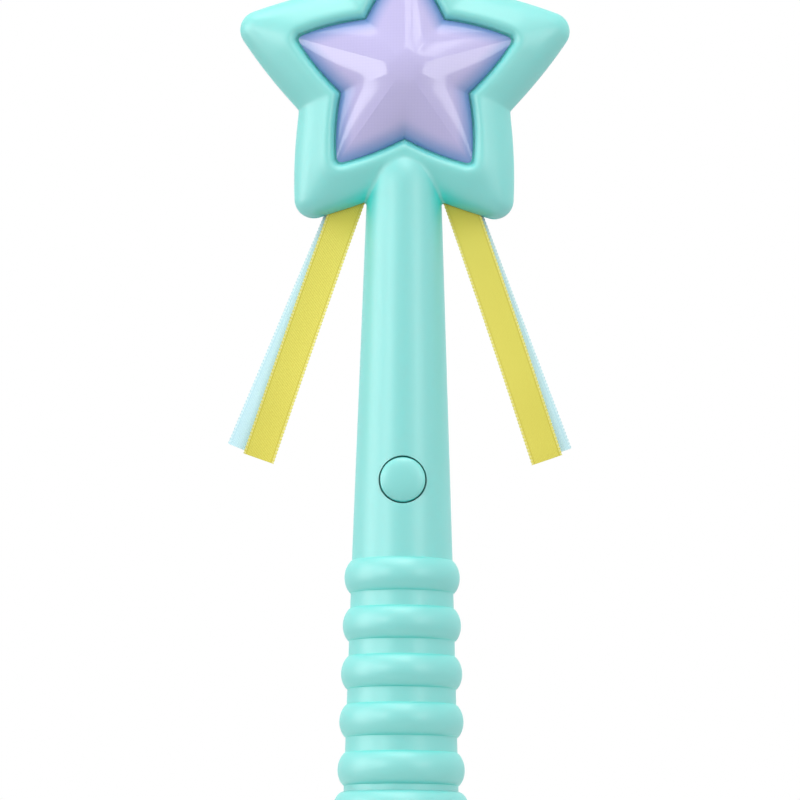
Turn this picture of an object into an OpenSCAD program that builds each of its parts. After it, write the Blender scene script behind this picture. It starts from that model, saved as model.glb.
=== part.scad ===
// Light-up toy wand: a star on a tapered stem with a ribbed grip, standing on its end cap.
// Millimetres. Z runs up the wand from the flat base, the front faces -Y, and the two halves
// of the case part on the plane y = 0.

/* [Grip and stem] */
// Height of the shoulder where the case stands on the end cap
shoulder_z = 16; // [12:0.5:24]
// Case radius at the shoulder
grip_low_r = 17.65; // [16.5:0.05:22]
// Height where the ribbed grip ends
grip_top_z = 88.5; // [87.5:0.5:96]
// Case radius where the ribbed grip ends
grip_top_r = 15.5; // [15:0.05:19]
// Height where the stem ends and its nose begins
stem_top_z = 199.6; // [191:0.1:204]
// Case radius at the top of the stem
stem_top_r = 11.7; // [10.5:0.05:14]
// Length of the rounded nose that runs up onto the star
nose_len = 16; // [14:0.5:20]
// Wall of the case
wall = 2.2; // [1.6:0.1:2.4]
// Ribs on the grip
rib_count = 5; // [1:1:5]
// Height of the middle of the lowest rib
rib_first_z = 22.95; // [21.5:0.05:23.5]
// Distance between ribs
rib_pitch = 14.8; // [11:0.1:15]
// Length of one rib along the grip
rib_len = 9.9; // [6:0.1:10.8]
// Height of a rib over the grip
rib_h = 2.1; // [1:0.1:3]

/* [End cap] */
// Largest diameter of the end cap
cap_d = 43; // [40:0.5:54]
// Diameter of the flat base
base_d = 36; // [30:0.5:38]
// Wall of the end cap
cap_wall = 2.2; // [1.6:0.1:2.6]
// How far the cap's plug reaches into the case
plug_h = 3; // [2:0.1:3.4]
// Wall of the plug
plug_wall = 1.8; // [1.2:0.1:2.4]

/* [Star] */
// Height of the star's middle
star_z = 238.9; // [236:0.1:243]
// Distance from the star's middle to a rounded tip
star_tip_r = 53.6; // [51:0.05:60]
// Distance from the star's middle to a notch
star_notch_r = 34.4; // [33:0.1:38]
// Rounding of the star's tips
star_round_r = 6.05; // [4.5:0.05:8]
// Depth of the front ridge round the lens, from the parting plane
ridge_depth = 10; // [9.5:0.1:12]
// Depth of the back of the star, from the parting plane
rear_depth = 9; // [8:0.1:12]
// How far the plain back panel is sunk
panel_sink = 1; // [0.4:0.1:1.4]

/* [Lens and light box] */
// Distance from the middle to a tip of the lens opening
lens_tip_r = 35.4; // [32:0.1:37]
// Distance from the middle to a notch of the lens opening
lens_notch_r = 21.1; // [19:0.1:22]
// Rounding of the lens opening's tips
lens_round_r = 1.8; // [0.8:0.1:2.5]
// How far the lens edge lies below the ridge
lens_drop = 3; // [2.4:0.1:3.4]
// Rise of the lens from its edge to its middle
lens_rise = 10; // [4:0.1:12]
// Thickness of the lens
lens_wall = 1.8; // [1.2:0.1:2]
// Thickness of the lens flange
flange_t = 1.2; // [0.8:0.1:1.6]
// Wall of the light box
box_wall = 1.2; // [0.8:0.1:1.5]
// Diameter of the lamp board
lamp_board_d = 20; // [19:0.5:22]
// Diameter of one lamp
lamp_d = 3; // [2:0.1:3.2]
// Lamps on the board
lamp_count = 3; // [1:1:4]

/* [Button] */
// Height of the button's middle
button_z = 111; // [108:0.5:120]
// Diameter of the button
button_d = 13.8; // [10:0.1:14.4]
// Clearance round the button
button_gap = 0.5; // [0.2:0.05:0.6]
// How far the button stands out of the stem
button_proud = 1; // [0.4:0.1:2.5]
// Travel of the button
button_travel = 1.2; // [0.6:0.1:1.4]
// Width of the flange that keeps the button in
button_flange_w = 1.2; // [0.9:0.1:1.4]
// Thickness of the button's flange
button_flange_t = 1.2; // [0.8:0.1:1.5]

/* [Control board] */
// Width of the control board
board_w = 17; // [13:0.5:17.5]
// Thickness of the boards
board_t = 1.6; // [0.8:0.1:1.8]
// Depth of the control board's front face, from the parting plane
board_depth = 3.4; // [3:0.1:3.8]

/* [Batteries] */
// Diameter of a cell
cell_d = 10.5; // [9.5:0.1:10.6]
// Length of a cell with its nub
cell_len = 44.5; // [40:0.1:44.8]
// Room between the two cells
cell_gap = 0.7; // [0.3:0.1:0.8]
// Distance of the cells behind the parting plane
cell_y = 1; // [0.5:0.1:1.5]
// Side walls of the battery tray
tray_wall = 1; // [0.8:0.1:1.1]
// End walls of the battery tray
tray_end_t = 1.3; // [1:0.1:1.4]
// Length of a battery spring
spring_len = 4; // [3.6:0.1:4.2]
// Wire of a battery spring
spring_wire_d = 0.5; // [0.3:0.05:0.55]
// Turns of a battery spring
spring_turns = 3; // [2:1:3]
// Thickness of the contact plates
contact_t = 0.4; // [0.3:0.05:0.5]

/* [Battery door] */
// Width of the door opening
door_w = 23; // [22.6:0.1:24]
// Height of the lower edge of the door opening
door_low_z = 22.5; // [21.5:0.1:23.2]
// Height of the upper edge of the door opening
door_high_z = 78; // [77:0.1:79]
// Clearance round the door
door_gap = 0.25; // [0.15:0.05:0.35]

/* [Ribbons] */
// Width of a ribbon
ribbon_w = 10; // [7:0.5:11]
// Thickness of a ribbon with its edging
ribbon_t = 0.5; // [0.3:0.05:0.6]
// Free length of a yellow ribbon along its middle
yellow_len = 83.5; // [60:0.5:100]
// Angle of a yellow ribbon to the stem
yellow_splay = 19.3; // [14:0.1:22]
// Distance of a yellow ribbon from the wand's axis where it leaves the star
yellow_x = 17.9; // [16.8:0.1:19]
// Free length of the left blue ribbon, as a share of the yellow one's
blue_left_share = 0.99; // [0.8:0.01:1.2]
// Angle of the left blue ribbon to the stem
blue_left_splay = 22.4; // [18:0.1:24]
// Free length of the right blue ribbon, as a share of the yellow one's
blue_right_share = 1; // [0.8:0.01:1.2]
// Angle of the right blue ribbon to the stem
blue_right_splay = 20.8; // [18:0.1:24]
// How far a blue ribbon leaves the star outside the yellow one
blue_shift = 0.8; // [0.4:0.1:2]

/* [Screws] */
// Shank diameter of the case screws and the door screw
screw_d = 2.4; // [1.8:0.1:2.6]
// Head diameter of the case screws and the door screw
screw_head_d = 5; // [4:0.1:5.2]
// Head height of the case screws and the door screw
screw_head_h = 1.5; // [1:0.1:1.8]
// Shank diameter of the board screws
board_screw_d = 1.6; // [1.2:0.1:1.8]
// Head diameter of the board screws
board_screw_head_d = 3.4; // [2.8:0.1:3.6]

/* [Wires] */
// Diameter of the wires inside
wire_d = 1.1; // [0.8:0.1:1.4]

/* [Hidden] */
$fn = 64;

// Overrun of every cut
over = 1;
// Clearance of parts that seat on each other
seat_gap = 0.1;
// Running clearance of shanks, plugs and pegs
fit_gap = 0.1;
// Clearance of a piece that is dropped into place
drop_gap = 0.3;

// Colours
teal = "#86dbd4";
lavender = "#b7b3d8";
white_plastic = "#f2f2ee";
board_green = "#2f7d4a";
steel = "#b9bcc0";
yellow_satin = "#ded974";
blue_satin = "#bfe4e8";

// Steps along a rib and along the nose, and round a star's tip
rib_steps = 8;
nose_steps = 8;
tip_steps = 5;
arms = 5;
arm_turn = 360 / arms;

// Front skin of the star, from inside the lens opening out to the rim, as [place, depth] where
// place runs from the lens opening at 0 to the rim at 1 and depth is a share of ridge_depth
front_skin_shares = [
    [-0.08, 0.74], [0, 0.78], [0.05, 0.89], [0.11, 0.965], [0.19, 1], [0.27, 0.965], [0.5, 0.79],
    [0.9, 0.47], [0.975, 0.37], [1, 0.2]
];
// The same for the back, as a share of rear_depth
rear_skin_shares = [[0, 1], [0.12, 0.985], [0.5, 0.78], [0.9, 0.5], [0.975, 0.4], [1, 0.22]];
// Place of the sunk panel's edge
panel_share = -0.1;
// Roof over the hollow, measured along Y on the sloping skin
roof_share = 1.2;
roof_t = wall * roof_share;
// Places of the hollow's corners, inside the lens seat and along the roof
seat_in_share = -0.15;
seat_out_share = 0.22;
hollow_mid_share = 0.5;
// Height of the lens edge over the seat of its flange
lens_seat_h = 1.4;
// Depth of that seat
seat_depth = ridge_depth - lens_drop - lens_seat_h;
// How far the lens flange and the light box reach past the opening
flange_share = 0.15;
lens_gap = 0.15;

// Fullness of the nose where the stem runs onto the star, less than one for blunter than an ellipse
nose_full_share = 0.67;

// Where the hollow of the stem ends inside the star
bore_top_z = star_z - star_notch_r + 2 * wall;
slope_grip = (grip_low_r - grip_top_r) / (grip_top_z - shoulder_z);
slope_stem = (grip_top_r - stem_top_r) / (stem_top_z - grip_top_z);

// Outside radius of the case, without its ribs, at height z
function case_r(z) = z < grip_top_z
    ? grip_top_r + (grip_top_z - z) * slope_grip
    : stem_top_r + (stem_top_z - z) * slope_stem;

// Depth of the star's skin at a place between the lens opening and the rim
function front_skin(place) = ridge_depth * lookup(place, front_skin_shares);
function rear_skin(place) = rear_depth * lookup(place, rear_skin_shares);

// Star outlines, as [x, z] about the star's middle
function spin(p, a) = [p[0] * cos(a) - p[1] * sin(a), p[0] * sin(a) + p[1] * cos(a)];
function notch_point(notch_r) = notch_r * [cos(arm_turn / 2), sin(arm_turn / 2)];
function tip_half_angle(tip_r, notch_r, round_r) =
    let (c = tip_r - round_r, n = notch_point(notch_r), d = norm(n - [c, 0]))
    atan2(n[1], n[0] - c) - acos(round_r / d);
function arm_points(tip_r, notch_r, round_r) =
    let (half = tip_half_angle(tip_r, notch_r, round_r), c = tip_r - round_r)
    concat(
        [for (i = [0:tip_steps])
            let (a = half * (2 * i / tip_steps - 1)) [c + round_r * cos(a), round_r * sin(a)]],
        [notch_point(notch_r)]
    );
function star_points(tip_r, notch_r, round_r) = [
    for (arm = [0:arms - 1])
    for (p = arm_points(tip_r, notch_r, round_r)) spin(p, 90 + arm * arm_turn)
];
function blend_points(place) =
    let (
        inner = star_points(lens_tip_r, lens_notch_r, lens_round_r),
        outer = star_points(star_tip_r, star_notch_r, star_round_r)
    )
    [for (i = [0:len(inner) - 1]) inner[i] + place * (outer[i] - inner[i])];
function lift(points, y) = [for (p = points) [p[0], y, star_z + p[1]]];

// Distance of a star's straight edges from its middle
function edge_distance(tip_r, notch_r, round_r) =
    let (
        half = tip_half_angle(tip_r, notch_r, round_r),
        t = [tip_r - round_r + round_r * cos(half), round_r * sin(half)],
        n = notch_point(notch_r)
    )
    abs(n[0] * t[1] - n[1] * t[0]) / norm(t - n);
frame_w = edge_distance(star_tip_r, star_notch_r, star_round_r)
    - edge_distance(lens_tip_r, lens_notch_r, lens_round_r);
rim_in_share = 1 - wall / frame_w;

// Rings of points, all alike in number, closed at both ends by fans, from front to back
function ring_faces(rings, n) = [
    for (i = [0:rings - 2])
    for (j = [0:n - 1])
    let (a = i * n + j, b = i * n + (j + 1) % n)
    each [[a, b, b + n], [a, b + n, a + n]]
];
function end_faces(rings, n) = [
    for (j = [0:n - 1])
    each [
        [rings * n, (j + 1) % n, j],
        [rings * n + 1, (rings - 1) * n + j, (rings - 1) * n + (j + 1) % n]
    ]
];
module ring_solid(rings, front_point, back_point) {
    n = len(rings[0]);
    polyhedron(
        points = concat([for (r = rings) each r], [front_point, back_point]),
        faces = concat(ring_faces(len(rings), n), end_faces(len(rings), n))
    );
}
function star_middle(y) = [0, y, star_z];

// A cylinder along Y, from y0 to y1
module rod(x, z, y0, y1, r) {
    translate([x, y0, z]) rotate([-90, 0, 0]) cylinder(h = y1 - y0, r = r);
}
// A star-shaped plate from y0 to y1
module star_plate(points, y0, y1) {
    translate([0, y1, star_z]) rotate([90, 0, 0]) linear_extrude(y1 - y0) polygon(points);
}
module box(x0, x1, y0, y1, z0, z1) {
    translate([x0, y0, z0]) cube([x1 - x0, y1 - y0, z1 - z0]);
}

// Case: the outside of stem, grip and star, and the hollow inside
function rib_points(z) = [
    for (i = [0:rib_steps])
    let (a = 180 * i / rib_steps, at = z - rib_len / 2 * cos(a))
    [case_r(at) + rib_h * sin(a), at]
];
nose_points = [
    for (i = [0:nose_steps - 1])
    let (a = 90 * i / nose_steps)
    [stem_top_r * pow(cos(a), nose_full_share), stem_top_z + nose_len * pow(sin(a), nose_full_share)]
];
module stem_outside() {
    rotate_extrude() polygon(concat(
        [[0, shoulder_z], [grip_low_r, shoulder_z]],
        [for (i = [0:rib_count - 1]) each rib_points(rib_first_z + i * rib_pitch)],
        [[grip_top_r, grip_top_z]],
        nose_points,
        [[0, stem_top_z + nose_len]]
    ));
}
// Hollow of stem and grip, drawn in from the case's inside by inset
module bore(inset) {
    cut = wall + inset;
    low_z = shoulder_z - over;
    rotate_extrude() polygon([
        [0, low_z],
        [case_r(low_z) - cut, low_z],
        [grip_top_r - cut, grip_top_z],
        [stem_top_r - cut, stem_top_z],
        [stem_top_r - cut, bore_top_z],
        [0, bore_top_z]
    ]);
}
panel_depth = rear_depth - panel_sink;
module star_outside() {
    front = [for (s = front_skin_shares) lift(blend_points(s[0]), -ridge_depth * s[1])];
    rear = [
        for (i = [len(rear_skin_shares) - 1:-1:0])
        let (s = rear_skin_shares[i]) lift(blend_points(s[0]), rear_depth * s[1])
    ];
    panel = [lift(blend_points(panel_share), panel_depth)];
    ring_solid(
        concat(front, rear, panel),
        star_middle(-ridge_depth * front_skin_shares[0][1]), star_middle(panel_depth)
    );
}
panel_in_depth = panel_depth - wall;
function hollow_front(place) = min(seat_depth, front_skin(place) - roof_t);
function hollow_rear(place) = min(panel_in_depth, rear_skin(place) - roof_t);
module star_hollow() {
    places = [seat_in_share, seat_out_share, hollow_mid_share, rim_in_share];
    front = [
        for (s = places)
        lift(blend_points(s), -(s <= seat_out_share ? seat_depth : hollow_front(s)))
    ];
    rear = [
        for (i = [len(places) - 1:-1:0])
        let (s = places[i])
        lift(blend_points(s), s <= seat_out_share ? panel_in_depth : hollow_rear(s))
    ];
    ring_solid(concat(front, rear), star_middle(-seat_depth), star_middle(panel_in_depth));
}
// Box that holds the front half, or the rear half, of the case
reach = star_tip_r + over;
top_z = star_z + reach;
module front_half() {
    box(-reach, reach, -reach, 0, 0, top_z);
}
module rear_half() {
    box(-reach, reach, 0, reach, 0, top_z);
}

// Button and control board
button_r = button_d / 2;
button_hole_r = button_r + button_gap;
button_top_y = -(case_r(button_z) + button_proud);
button_flange_r = button_hole_r + button_flange_w - button_gap;
button_crown = 1.6;
// Front face of the flange, clear of the inside of the stem
bore_button_r = case_r(button_z) - wall;
flange_y = -(sqrt(pow(bore_button_r, 2) - pow(button_flange_r, 2)) - seat_gap);
// End of the ring that guides the button
guide_y = flange_y - seat_gap;
guide_wall = 1.5;
guide_r = button_hole_r + guide_wall;
// Height of the dome under the plunger, pressed flat and at rest
dome_flat_h = 1.6;
dome_h = dome_flat_h + button_travel;
dome_r = 4;
dome_wall = 0.8;
plunger_r = 1.8;
// Bosses that carry the control board, clear of the button's flange
board_boss_wall = 1.6;
board_boss_r = board_screw_d / 2 + board_boss_wall;
board_boss_gap = 0.8;
board_boss_z = button_flange_r + board_boss_r + board_boss_gap;
board_half_len = board_boss_z + board_boss_r;
board_back_y = board_t - board_depth;
chip_r = 3.4;
chip_h = 1;
chip_z = button_z - dome_r / 2;
board_screw_head_h = 1.1;
board_screw_len = 6;

// Screws that close the case: three in the star's upper arms, two in the stem
star_post_r = (star_tip_r + lens_tip_r) / 2;
stem_post_shares = [0.3, 0.78];
case_posts = concat(
    [for (arm = [-1:1]) let (p = spin([0, star_post_r], arm * arm_turn)) [p[0], star_z + p[1], 0]],
    [for (s = stem_post_shares)
        let (low = button_z + board_half_len) [0, low + s * (stem_top_z - low), 1]]
);
post_wall = 1.7;
post_r = screw_d / 2 + post_wall;
screw_hole_r = screw_d / 2 + fit_gap;
head_well_r = screw_head_d / 2 + drop_gap;
// Depth of the screw heads' seats behind the parting plane, in the star and in the stem
star_head_share = 0.36;
stem_head_share = 0.5;
star_head_y = rear_depth * star_head_share;
stem_head_y = stem_top_r * stem_head_share;
function head_seat(post) = post[2] == 0 ? star_head_y : stem_head_y;
// How far the screws reach into the front half
screw_reach_share = 0.42;
case_screw_reach = ridge_depth * screw_reach_share;

// Lamp board and light box
box_depth = seat_depth - flange_t;
box_back_y = 0.2;
box_back_t = 1.2;
lamp_ring_r = 4;
lamp_hole_r = lamp_ring_r + lamp_d / 2 + drop_gap;
lamp_h = 2.6;
lamp_boss_wall = 0.9;
lamp_boss_r = board_screw_d / 2 + lamp_boss_wall;
lamp_screw_x = lamp_hole_r + lamp_boss_r + drop_gap;
lamp_boss_h = 3;
box_post_r = 2.2;
box_post_gap = 1.2;
box_post_ring_r = lamp_board_d / 2 + box_post_r + box_post_gap;
box_post_angles = [30, 150, 270];

// Battery bay
cell_r = cell_d / 2;
cell_x = cell_r + cell_gap / 2;
cell_play = 0.15;
nub_r = 1.9;
nub_h = 1;
tray_low_z = shoulder_z + plug_h + drop_gap;
bay_low_z = tray_low_z + tray_end_t;
bay_high_z = bay_low_z + 2 * contact_t + spring_len + cell_len;
tray_high_z = bay_high_z + tray_end_t;
tray_in_x = cell_x + cell_r + cell_play;
tray_out_x = tray_in_x + tray_wall;
tray_floor_y = cell_y - cell_r - cell_play;
tray_front_y = tray_floor_y - tray_wall;
tray_side_share = 0.2;
tray_rear_y = cell_y + cell_r * tray_side_share;
tray_post_shares = [0.25, 0.75];
tray_post_r = 2.4;
contact_gap = 1.6;
contact_in_x = (cell_gap + contact_gap) / 2;
contact_out_x = tray_in_x - drop_gap;
contact_share = 0.76;
contact_half_y = cell_r * contact_share;
tab_half_x = 1.2;
tab_rise = 1.4;
spring_low_r = 3.4;
spring_high_r = 2.4;
spring_rings = 8;
spring_sides = 6;

// Battery door
door_post_gap = 0.6;
door_screw_z = tray_high_z + post_r + door_post_gap;
// Length of the door's own boss, which meets the post of the front half
door_boss_h = 4;
door_boss_y = case_r(door_screw_z) - wall - door_boss_h;
door_post_y = door_boss_y - seat_gap;
// How deep the screw's head lies in its well
door_head_sink = 1.9;
door_head_y = case_r(door_screw_z) - screw_head_h - door_head_sink;
door_screw_len = 9;
ledge_t = 1.3;
ledge_over = 1.5;
ledge_back = 2.5;
door_half_w = door_w / 2;

// Ribbons: the slope of the star's lower edges, and a strip's outline in its own directions,
// with s down the strip and w across it
edge_tip = let (h = tip_half_angle(star_tip_r, star_notch_r, star_round_r), c = star_tip_r - star_round_r)
    spin([c + star_round_r * cos(h), -star_round_r * sin(h)], arm_turn / 2 - 90);
edge_fall = (-star_notch_r - edge_tip[1]) / edge_tip[0];
edge_slope = atan(edge_fall);
function mouth_z(x) = star_z - star_notch_r - x * edge_fall;
ribbon_y = 0.5;
mouth_gap = 0.3;
tail_len = 8.5;
peg_s = 5.5;
peg_r = 1;
peg_proud = 1.3;
slot_gap = 0.25;
slot_half_y = ribbon_y + ribbon_t / 2 + slot_gap;
slot_side = 0.8;
slot_out = ribbon_w;
blue_x = yellow_x + blue_shift;
blue_left_len = yellow_len * blue_left_share;
blue_right_len = yellow_len * blue_right_share;
// Clearance of the tails to the light box
tail_gap = 0.4;
peg_x = yellow_x - peg_s * sin(yellow_splay);
peg_z = mouth_z(yellow_x) + peg_s * cos(yellow_splay);

// Points of the wires, as [x, y, z]: the ends at a board count z from the button or the star's middle
battery_low = [[6, 1, 72.8], [6, 1, 76], [7, 1.5, 82], [7, 2.5, 90]];
battery_end = [[6, 3.5, -14], [6, 3.5, -10], [6, 2.5, -7.5], [6, 0.5, -6.5], [6, -1.7, -6.5]];
lamp_start = [[5, -1.7, 9], [5, 0.5, 9], [5, 2.5, 10], [5.5, 3.5, 13], [6.5, 3, 21]];
lamp_mid = [[6.5, 2, 145], [6.5, 2, 165], [6.2, 2, 185], [5.8, 2.5, 200]];
lamp_end = [
    [5.5, 4, -26.9], [5.2, 4.8, -16.9], [4.6, 4.8, -11.9], [4, 4.2, -9.4], [4, 3, -8.7], [4, 1.9, -8.7]
];
function raised(points, z) = [for (p = points) [p[0], p[1], p[2] + z]];
battery_route = concat(battery_low, raised(battery_end, button_z));
lamp_route = concat(raised(lamp_start, button_z), lamp_mid, raised(lamp_end, star_z));
wire_sides = 8;

// A tube along a list of points
function unit(v) = v / norm(v);
function tangent(p, i) = unit(p[min(i + 1, len(p) - 1)] - p[max(i - 1, 0)]);
function tube_ring(p, i, r, sides) =
    let (t = tangent(p, i), u = unit(cross(t, [1, 0, 0])), v = cross(u, t))
    [for (k = [0:sides - 1]) let (a = 360 * k / sides) p[i] + r * (u * cos(a) + v * sin(a))];
module tube(p, r, sides) {
    ring_solid([for (i = [0:len(p) - 1]) tube_ring(p, i, r, sides)], p[0], p[len(p) - 1]);
}
module mirrored_wire(route, side) {
    mirror([side < 0 ? 1 : 0, 0, 0]) tube(route, wire_d / 2, wire_sides);
}

// A conical coil spring standing on z = 0, wide end down
function coil_points() =
    let (steps = spring_rings * spring_turns, wire_r = spring_wire_d / 2)
    [for (i = [0:steps])
        let (f = i / steps, a = 360 * spring_turns * f, r = spring_low_r + (spring_high_r - spring_low_r) * f)
        [r * cos(a), r * sin(a), wire_r + (spring_len - spring_wire_d) * f]];
function coil_ring(p, i) =
    let (t = tangent(p, i), u = unit(cross(t, [0, 0, 1])), v = cross(u, t))
    [for (k = [0:spring_sides - 1])
        let (a = 360 * k / spring_sides) p[i] + spring_wire_d / 2 * (u * cos(a) + v * sin(a))];
module coil() {
    p = coil_points();
    ring_solid([for (i = [0:len(p) - 1]) coil_ring(p, i)], p[0], p[len(p) - 1]);
}
// Least gap of the coil to itself, between points at least three quarters of a turn apart
coil_path = coil_points();
coil_apart = 3 * spring_rings / 4;
coil_gap = min([
    for (i = [0:len(coil_path) - 1])
    for (j = [0:len(coil_path) - 1])
    if (j - i >= coil_apart) norm(coil_path[i] - coil_path[j]) - spring_wire_d
]);
echo(least_gap_of_spring_coils = coil_gap);

// Case halves
module case_hollow() {
    star_hollow();
    bore(0);
}
module ribbon_slots() {
    for (side = [0, 1])
    mirror([side, 0, 0])
    translate([yellow_x, 0, mouth_z(yellow_x)])
    rotate([0, -yellow_splay, 0])
    box(
        -ribbon_w / 2 - slot_side, ribbon_w / 2 + blue_shift + slot_out / 4,
        -slot_half_y, slot_half_y, -slot_out, tail_len + slot_side
    );
}
module front_posts() {
    for (p = case_posts) rod(p[0], p[1], -reach, over, post_r);
    for (side = [-1, 1]) rod(0, button_z + side * board_boss_z, -reach, -board_depth, board_boss_r);
    for (s = tray_post_shares)
    rod(0, tray_low_z + s * (tray_high_z - tray_low_z), -reach, tray_front_y, tray_post_r);
    rod(0, button_z, -reach, guide_y, guide_r);
}
module front_holes() {
    for (p = case_posts) rod(p[0], p[1], -case_screw_reach - over, over, screw_hole_r);
    for (side = [-1, 1])
    rod(0, button_z + side * board_boss_z, -board_depth - board_screw_len, 0, board_screw_d / 2 + fit_gap);
    rod(0, button_z, -reach, guide_y + over, button_hole_r);
    star_plate(
        star_points(lens_tip_r + lens_gap, lens_notch_r + lens_gap, lens_round_r + lens_gap),
        -ridge_depth - over, -seat_depth + over
    );
    ribbon_slots();
}
module front_shell() {
    door_post_embed = wall / 2;
    color(teal) {
        intersection() {
            difference() {
                union() {
                    stem_outside();
                    star_outside();
                }
                difference() {
                    case_hollow();
                    front_posts();
                }
                front_holes();
            }
            front_half();
        }
        difference() {
            rod(0, door_screw_z, -(case_r(door_screw_z) - door_post_embed), door_post_y, post_r);
            rod(0, door_screw_z, door_head_y - door_screw_len - over, door_post_y + over, screw_hole_r);
        }
        for (side = [-1, 1])
        rod(side * peg_x, peg_z, -hollow_front(hollow_mid_share) - roof_t / 4, peg_proud, peg_r);
    }
}
module door_ledge(z0, z1) {
    box(-door_half_w + ledge_over, door_half_w - ledge_over, 0, reach, z0, z1);
}
module door_ledges() {
    difference() {
        union() {
            door_ledge(door_low_z - ledge_back, door_low_z + ledge_over);
            door_ledge(door_high_z - ledge_over, door_high_z + ledge_back);
        }
        bore(ledge_t);
        box(-reach, reach, -over, door_boss_y, 0, star_z);
        rod(0, door_screw_z, 0, reach, post_r + drop_gap);
    }
}
module rear_posts() {
    for (p = case_posts) rod(p[0], p[1], -over, reach, post_r);
    for (a = box_post_angles)
    rod(box_post_ring_r * cos(a), star_z + box_post_ring_r * sin(a), box_back_y, reach, box_post_r);
    door_ledges();
}
module rear_shell() {
    color(teal) intersection() {
        difference() {
            union() {
                stem_outside();
                star_outside();
            }
            difference() {
                case_hollow();
                rear_posts();
            }
            for (p = case_posts) {
                rod(p[0], p[1], -over, reach, screw_hole_r);
                rod(p[0], p[1], head_seat(p), reach, head_well_r);
            }
            difference() {
                box(-door_half_w, door_half_w, over, reach, door_low_z, door_high_z);
                bore(seat_gap);
            }
            ribbon_slots();
        }
        rear_half();
    }
}

// End cap
// Outside of the cap, as [place from the case's radius to the cap's, height as a share]
cap_shares = [
    [1, 0.5], [0.96, 0.62], [0.83, 0.75], [0.62, 0.87], [0.4, 0.95], [0.07, 1]
];
cap_foot_shares = [[0, 0], [0.12, 0.012], [0.45, 0.075], [0.76, 0.2], [0.94, 0.35]];
module end_cap() {
    cap_r = cap_d / 2;
    foot_r = base_d / 2;
    plug_r = case_r(shoulder_z + plug_h) - wall - fit_gap;
    hollow_r = plug_r - plug_wall;
    color(teal) rotate_extrude() polygon(concat(
        [[0, 0]],
        [for (s = cap_foot_shares) [foot_r + s[0] * (cap_r - foot_r), s[1] * shoulder_z]],
        [for (s = cap_shares) [grip_low_r + s[0] * (cap_r - grip_low_r), s[1] * shoulder_z]],
        [
            [plug_r, shoulder_z], [plug_r, shoulder_z + plug_h], [hollow_r, shoulder_z + plug_h],
            [hollow_r, shoulder_z - cap_wall], [foot_r, shoulder_z / 2],
            [foot_r - cap_wall, cap_wall], [0, cap_wall]
        ]
    ));
}

// Lens and light box
// Rings of the pillowed lens, as [size, height], shares of the opening and of lens_rise
lens_dome_shares = [[0.1, 0.9], [0.2, 0.84], [0.4, 0.67], [0.65, 0.44], [0.85, 0.22], [1, 0]];
lens_top_share = 0.91;
function lens_rings(points, y) = [
    for (s = lens_dome_shares) lift([for (p = points) p * s[0]], y - lens_rise * s[1])
];
module star_lens() {
    outline = star_points(lens_tip_r, lens_notch_r, lens_round_r);
    inside = blend_points(seat_in_share);
    edge_y = lens_drop - ridge_depth;
    back_y = -seat_depth + flange_t;
    inside_y = edge_y + lens_wall;
    color(lavender) difference() {
        union() {
            ring_solid(
                concat(lens_rings(outline, edge_y), [lift(outline, back_y - flange_t / 2)]),
                star_middle(edge_y - lens_rise * lens_top_share), star_middle(back_y - flange_t / 2)
            );
            star_plate(blend_points(flange_share), -seat_depth, back_y);
        }
        ring_solid(
            concat(lens_rings(inside, inside_y), [lift(inside, back_y + over)]),
            star_middle(inside_y - lens_rise * lens_top_share), star_middle(back_y + over)
        );
    }
}
module star_reflector() {
    wall_share = box_wall / frame_w;
    lamp_hole_end_y = box_back_y - lamp_boss_h + box_wall / 2;
    color(white_plastic) difference() {
        union() {
            difference() {
                star_plate(blend_points(flange_share), -box_depth, box_back_y);
                star_plate(
                    blend_points(flange_share - wall_share), -box_depth - over, box_back_y - box_back_t
                );
                rod(0, star_z, -over, over, lamp_hole_r);
            }
            for (side = [-1, 1])
            rod(side * lamp_screw_x, star_z, box_back_y - lamp_boss_h, box_back_y, lamp_boss_r);
        }
        for (side = [-1, 1])
        rod(side * lamp_screw_x, star_z, lamp_hole_end_y, over, board_screw_d / 2 + fit_gap);
    }
}
module led_board() {
    color(board_green) difference() {
        rod(0, star_z, box_back_y, box_back_y + board_t, lamp_board_d / 2);
        for (side = [-1, 1]) rod(side * lamp_screw_x, star_z, -over, reach, board_screw_d / 2 + fit_gap);
    }
}
module star_leds() {
    lamp_r = lamp_d / 2;
    color("white") for (i = [0:lamp_count - 1]) {
        a = 90 + i * 360 / lamp_count;
        translate([lamp_ring_r * cos(a), box_back_y, star_z + lamp_ring_r * sin(a)])
        rotate([90, 0, 0])
        rotate_extrude() polygon([
            [0, 0], [lamp_r, 0], [lamp_r, lamp_h - lamp_r],
            [lamp_r * cos(45), lamp_h - lamp_r + lamp_r * sin(45)], [0, lamp_h]
        ]);
    }
}

// Button and control board
module push_button() {
    crown_steps = 6;
    color(teal) {
        translate([0, 0, button_z]) rotate([90, 0, 0]) rotate_extrude() polygon(concat(
            [[0, -flange_y - button_flange_t / 2], [button_r, -flange_y - button_flange_t / 2]],
            [for (i = [0:crown_steps])
                let (a = 90 * i / crown_steps)
                [button_r * cos(a), -button_top_y - button_crown + button_crown * sin(a)]]
        ));
        rod(0, button_z, flange_y, flange_y + button_flange_t, button_flange_r);
        rod(0, button_z, flange_y + button_flange_t / 2, -board_depth - dome_h - seat_gap, plunger_r);
    }
}
module button_dome() {
    dome_top_r = plunger_r + dome_wall;
    color("gainsboro") translate([0, -board_depth, button_z]) rotate([90, 0, 0]) rotate_extrude() polygon([
        [dome_r - dome_wall, 0], [dome_r, 0], [dome_r, dome_wall], [dome_top_r, dome_h], [0, dome_h],
        [0, dome_h - dome_wall], [dome_top_r - dome_wall, dome_h - dome_wall], [dome_r - dome_wall, dome_wall]
    ]);
}
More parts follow.
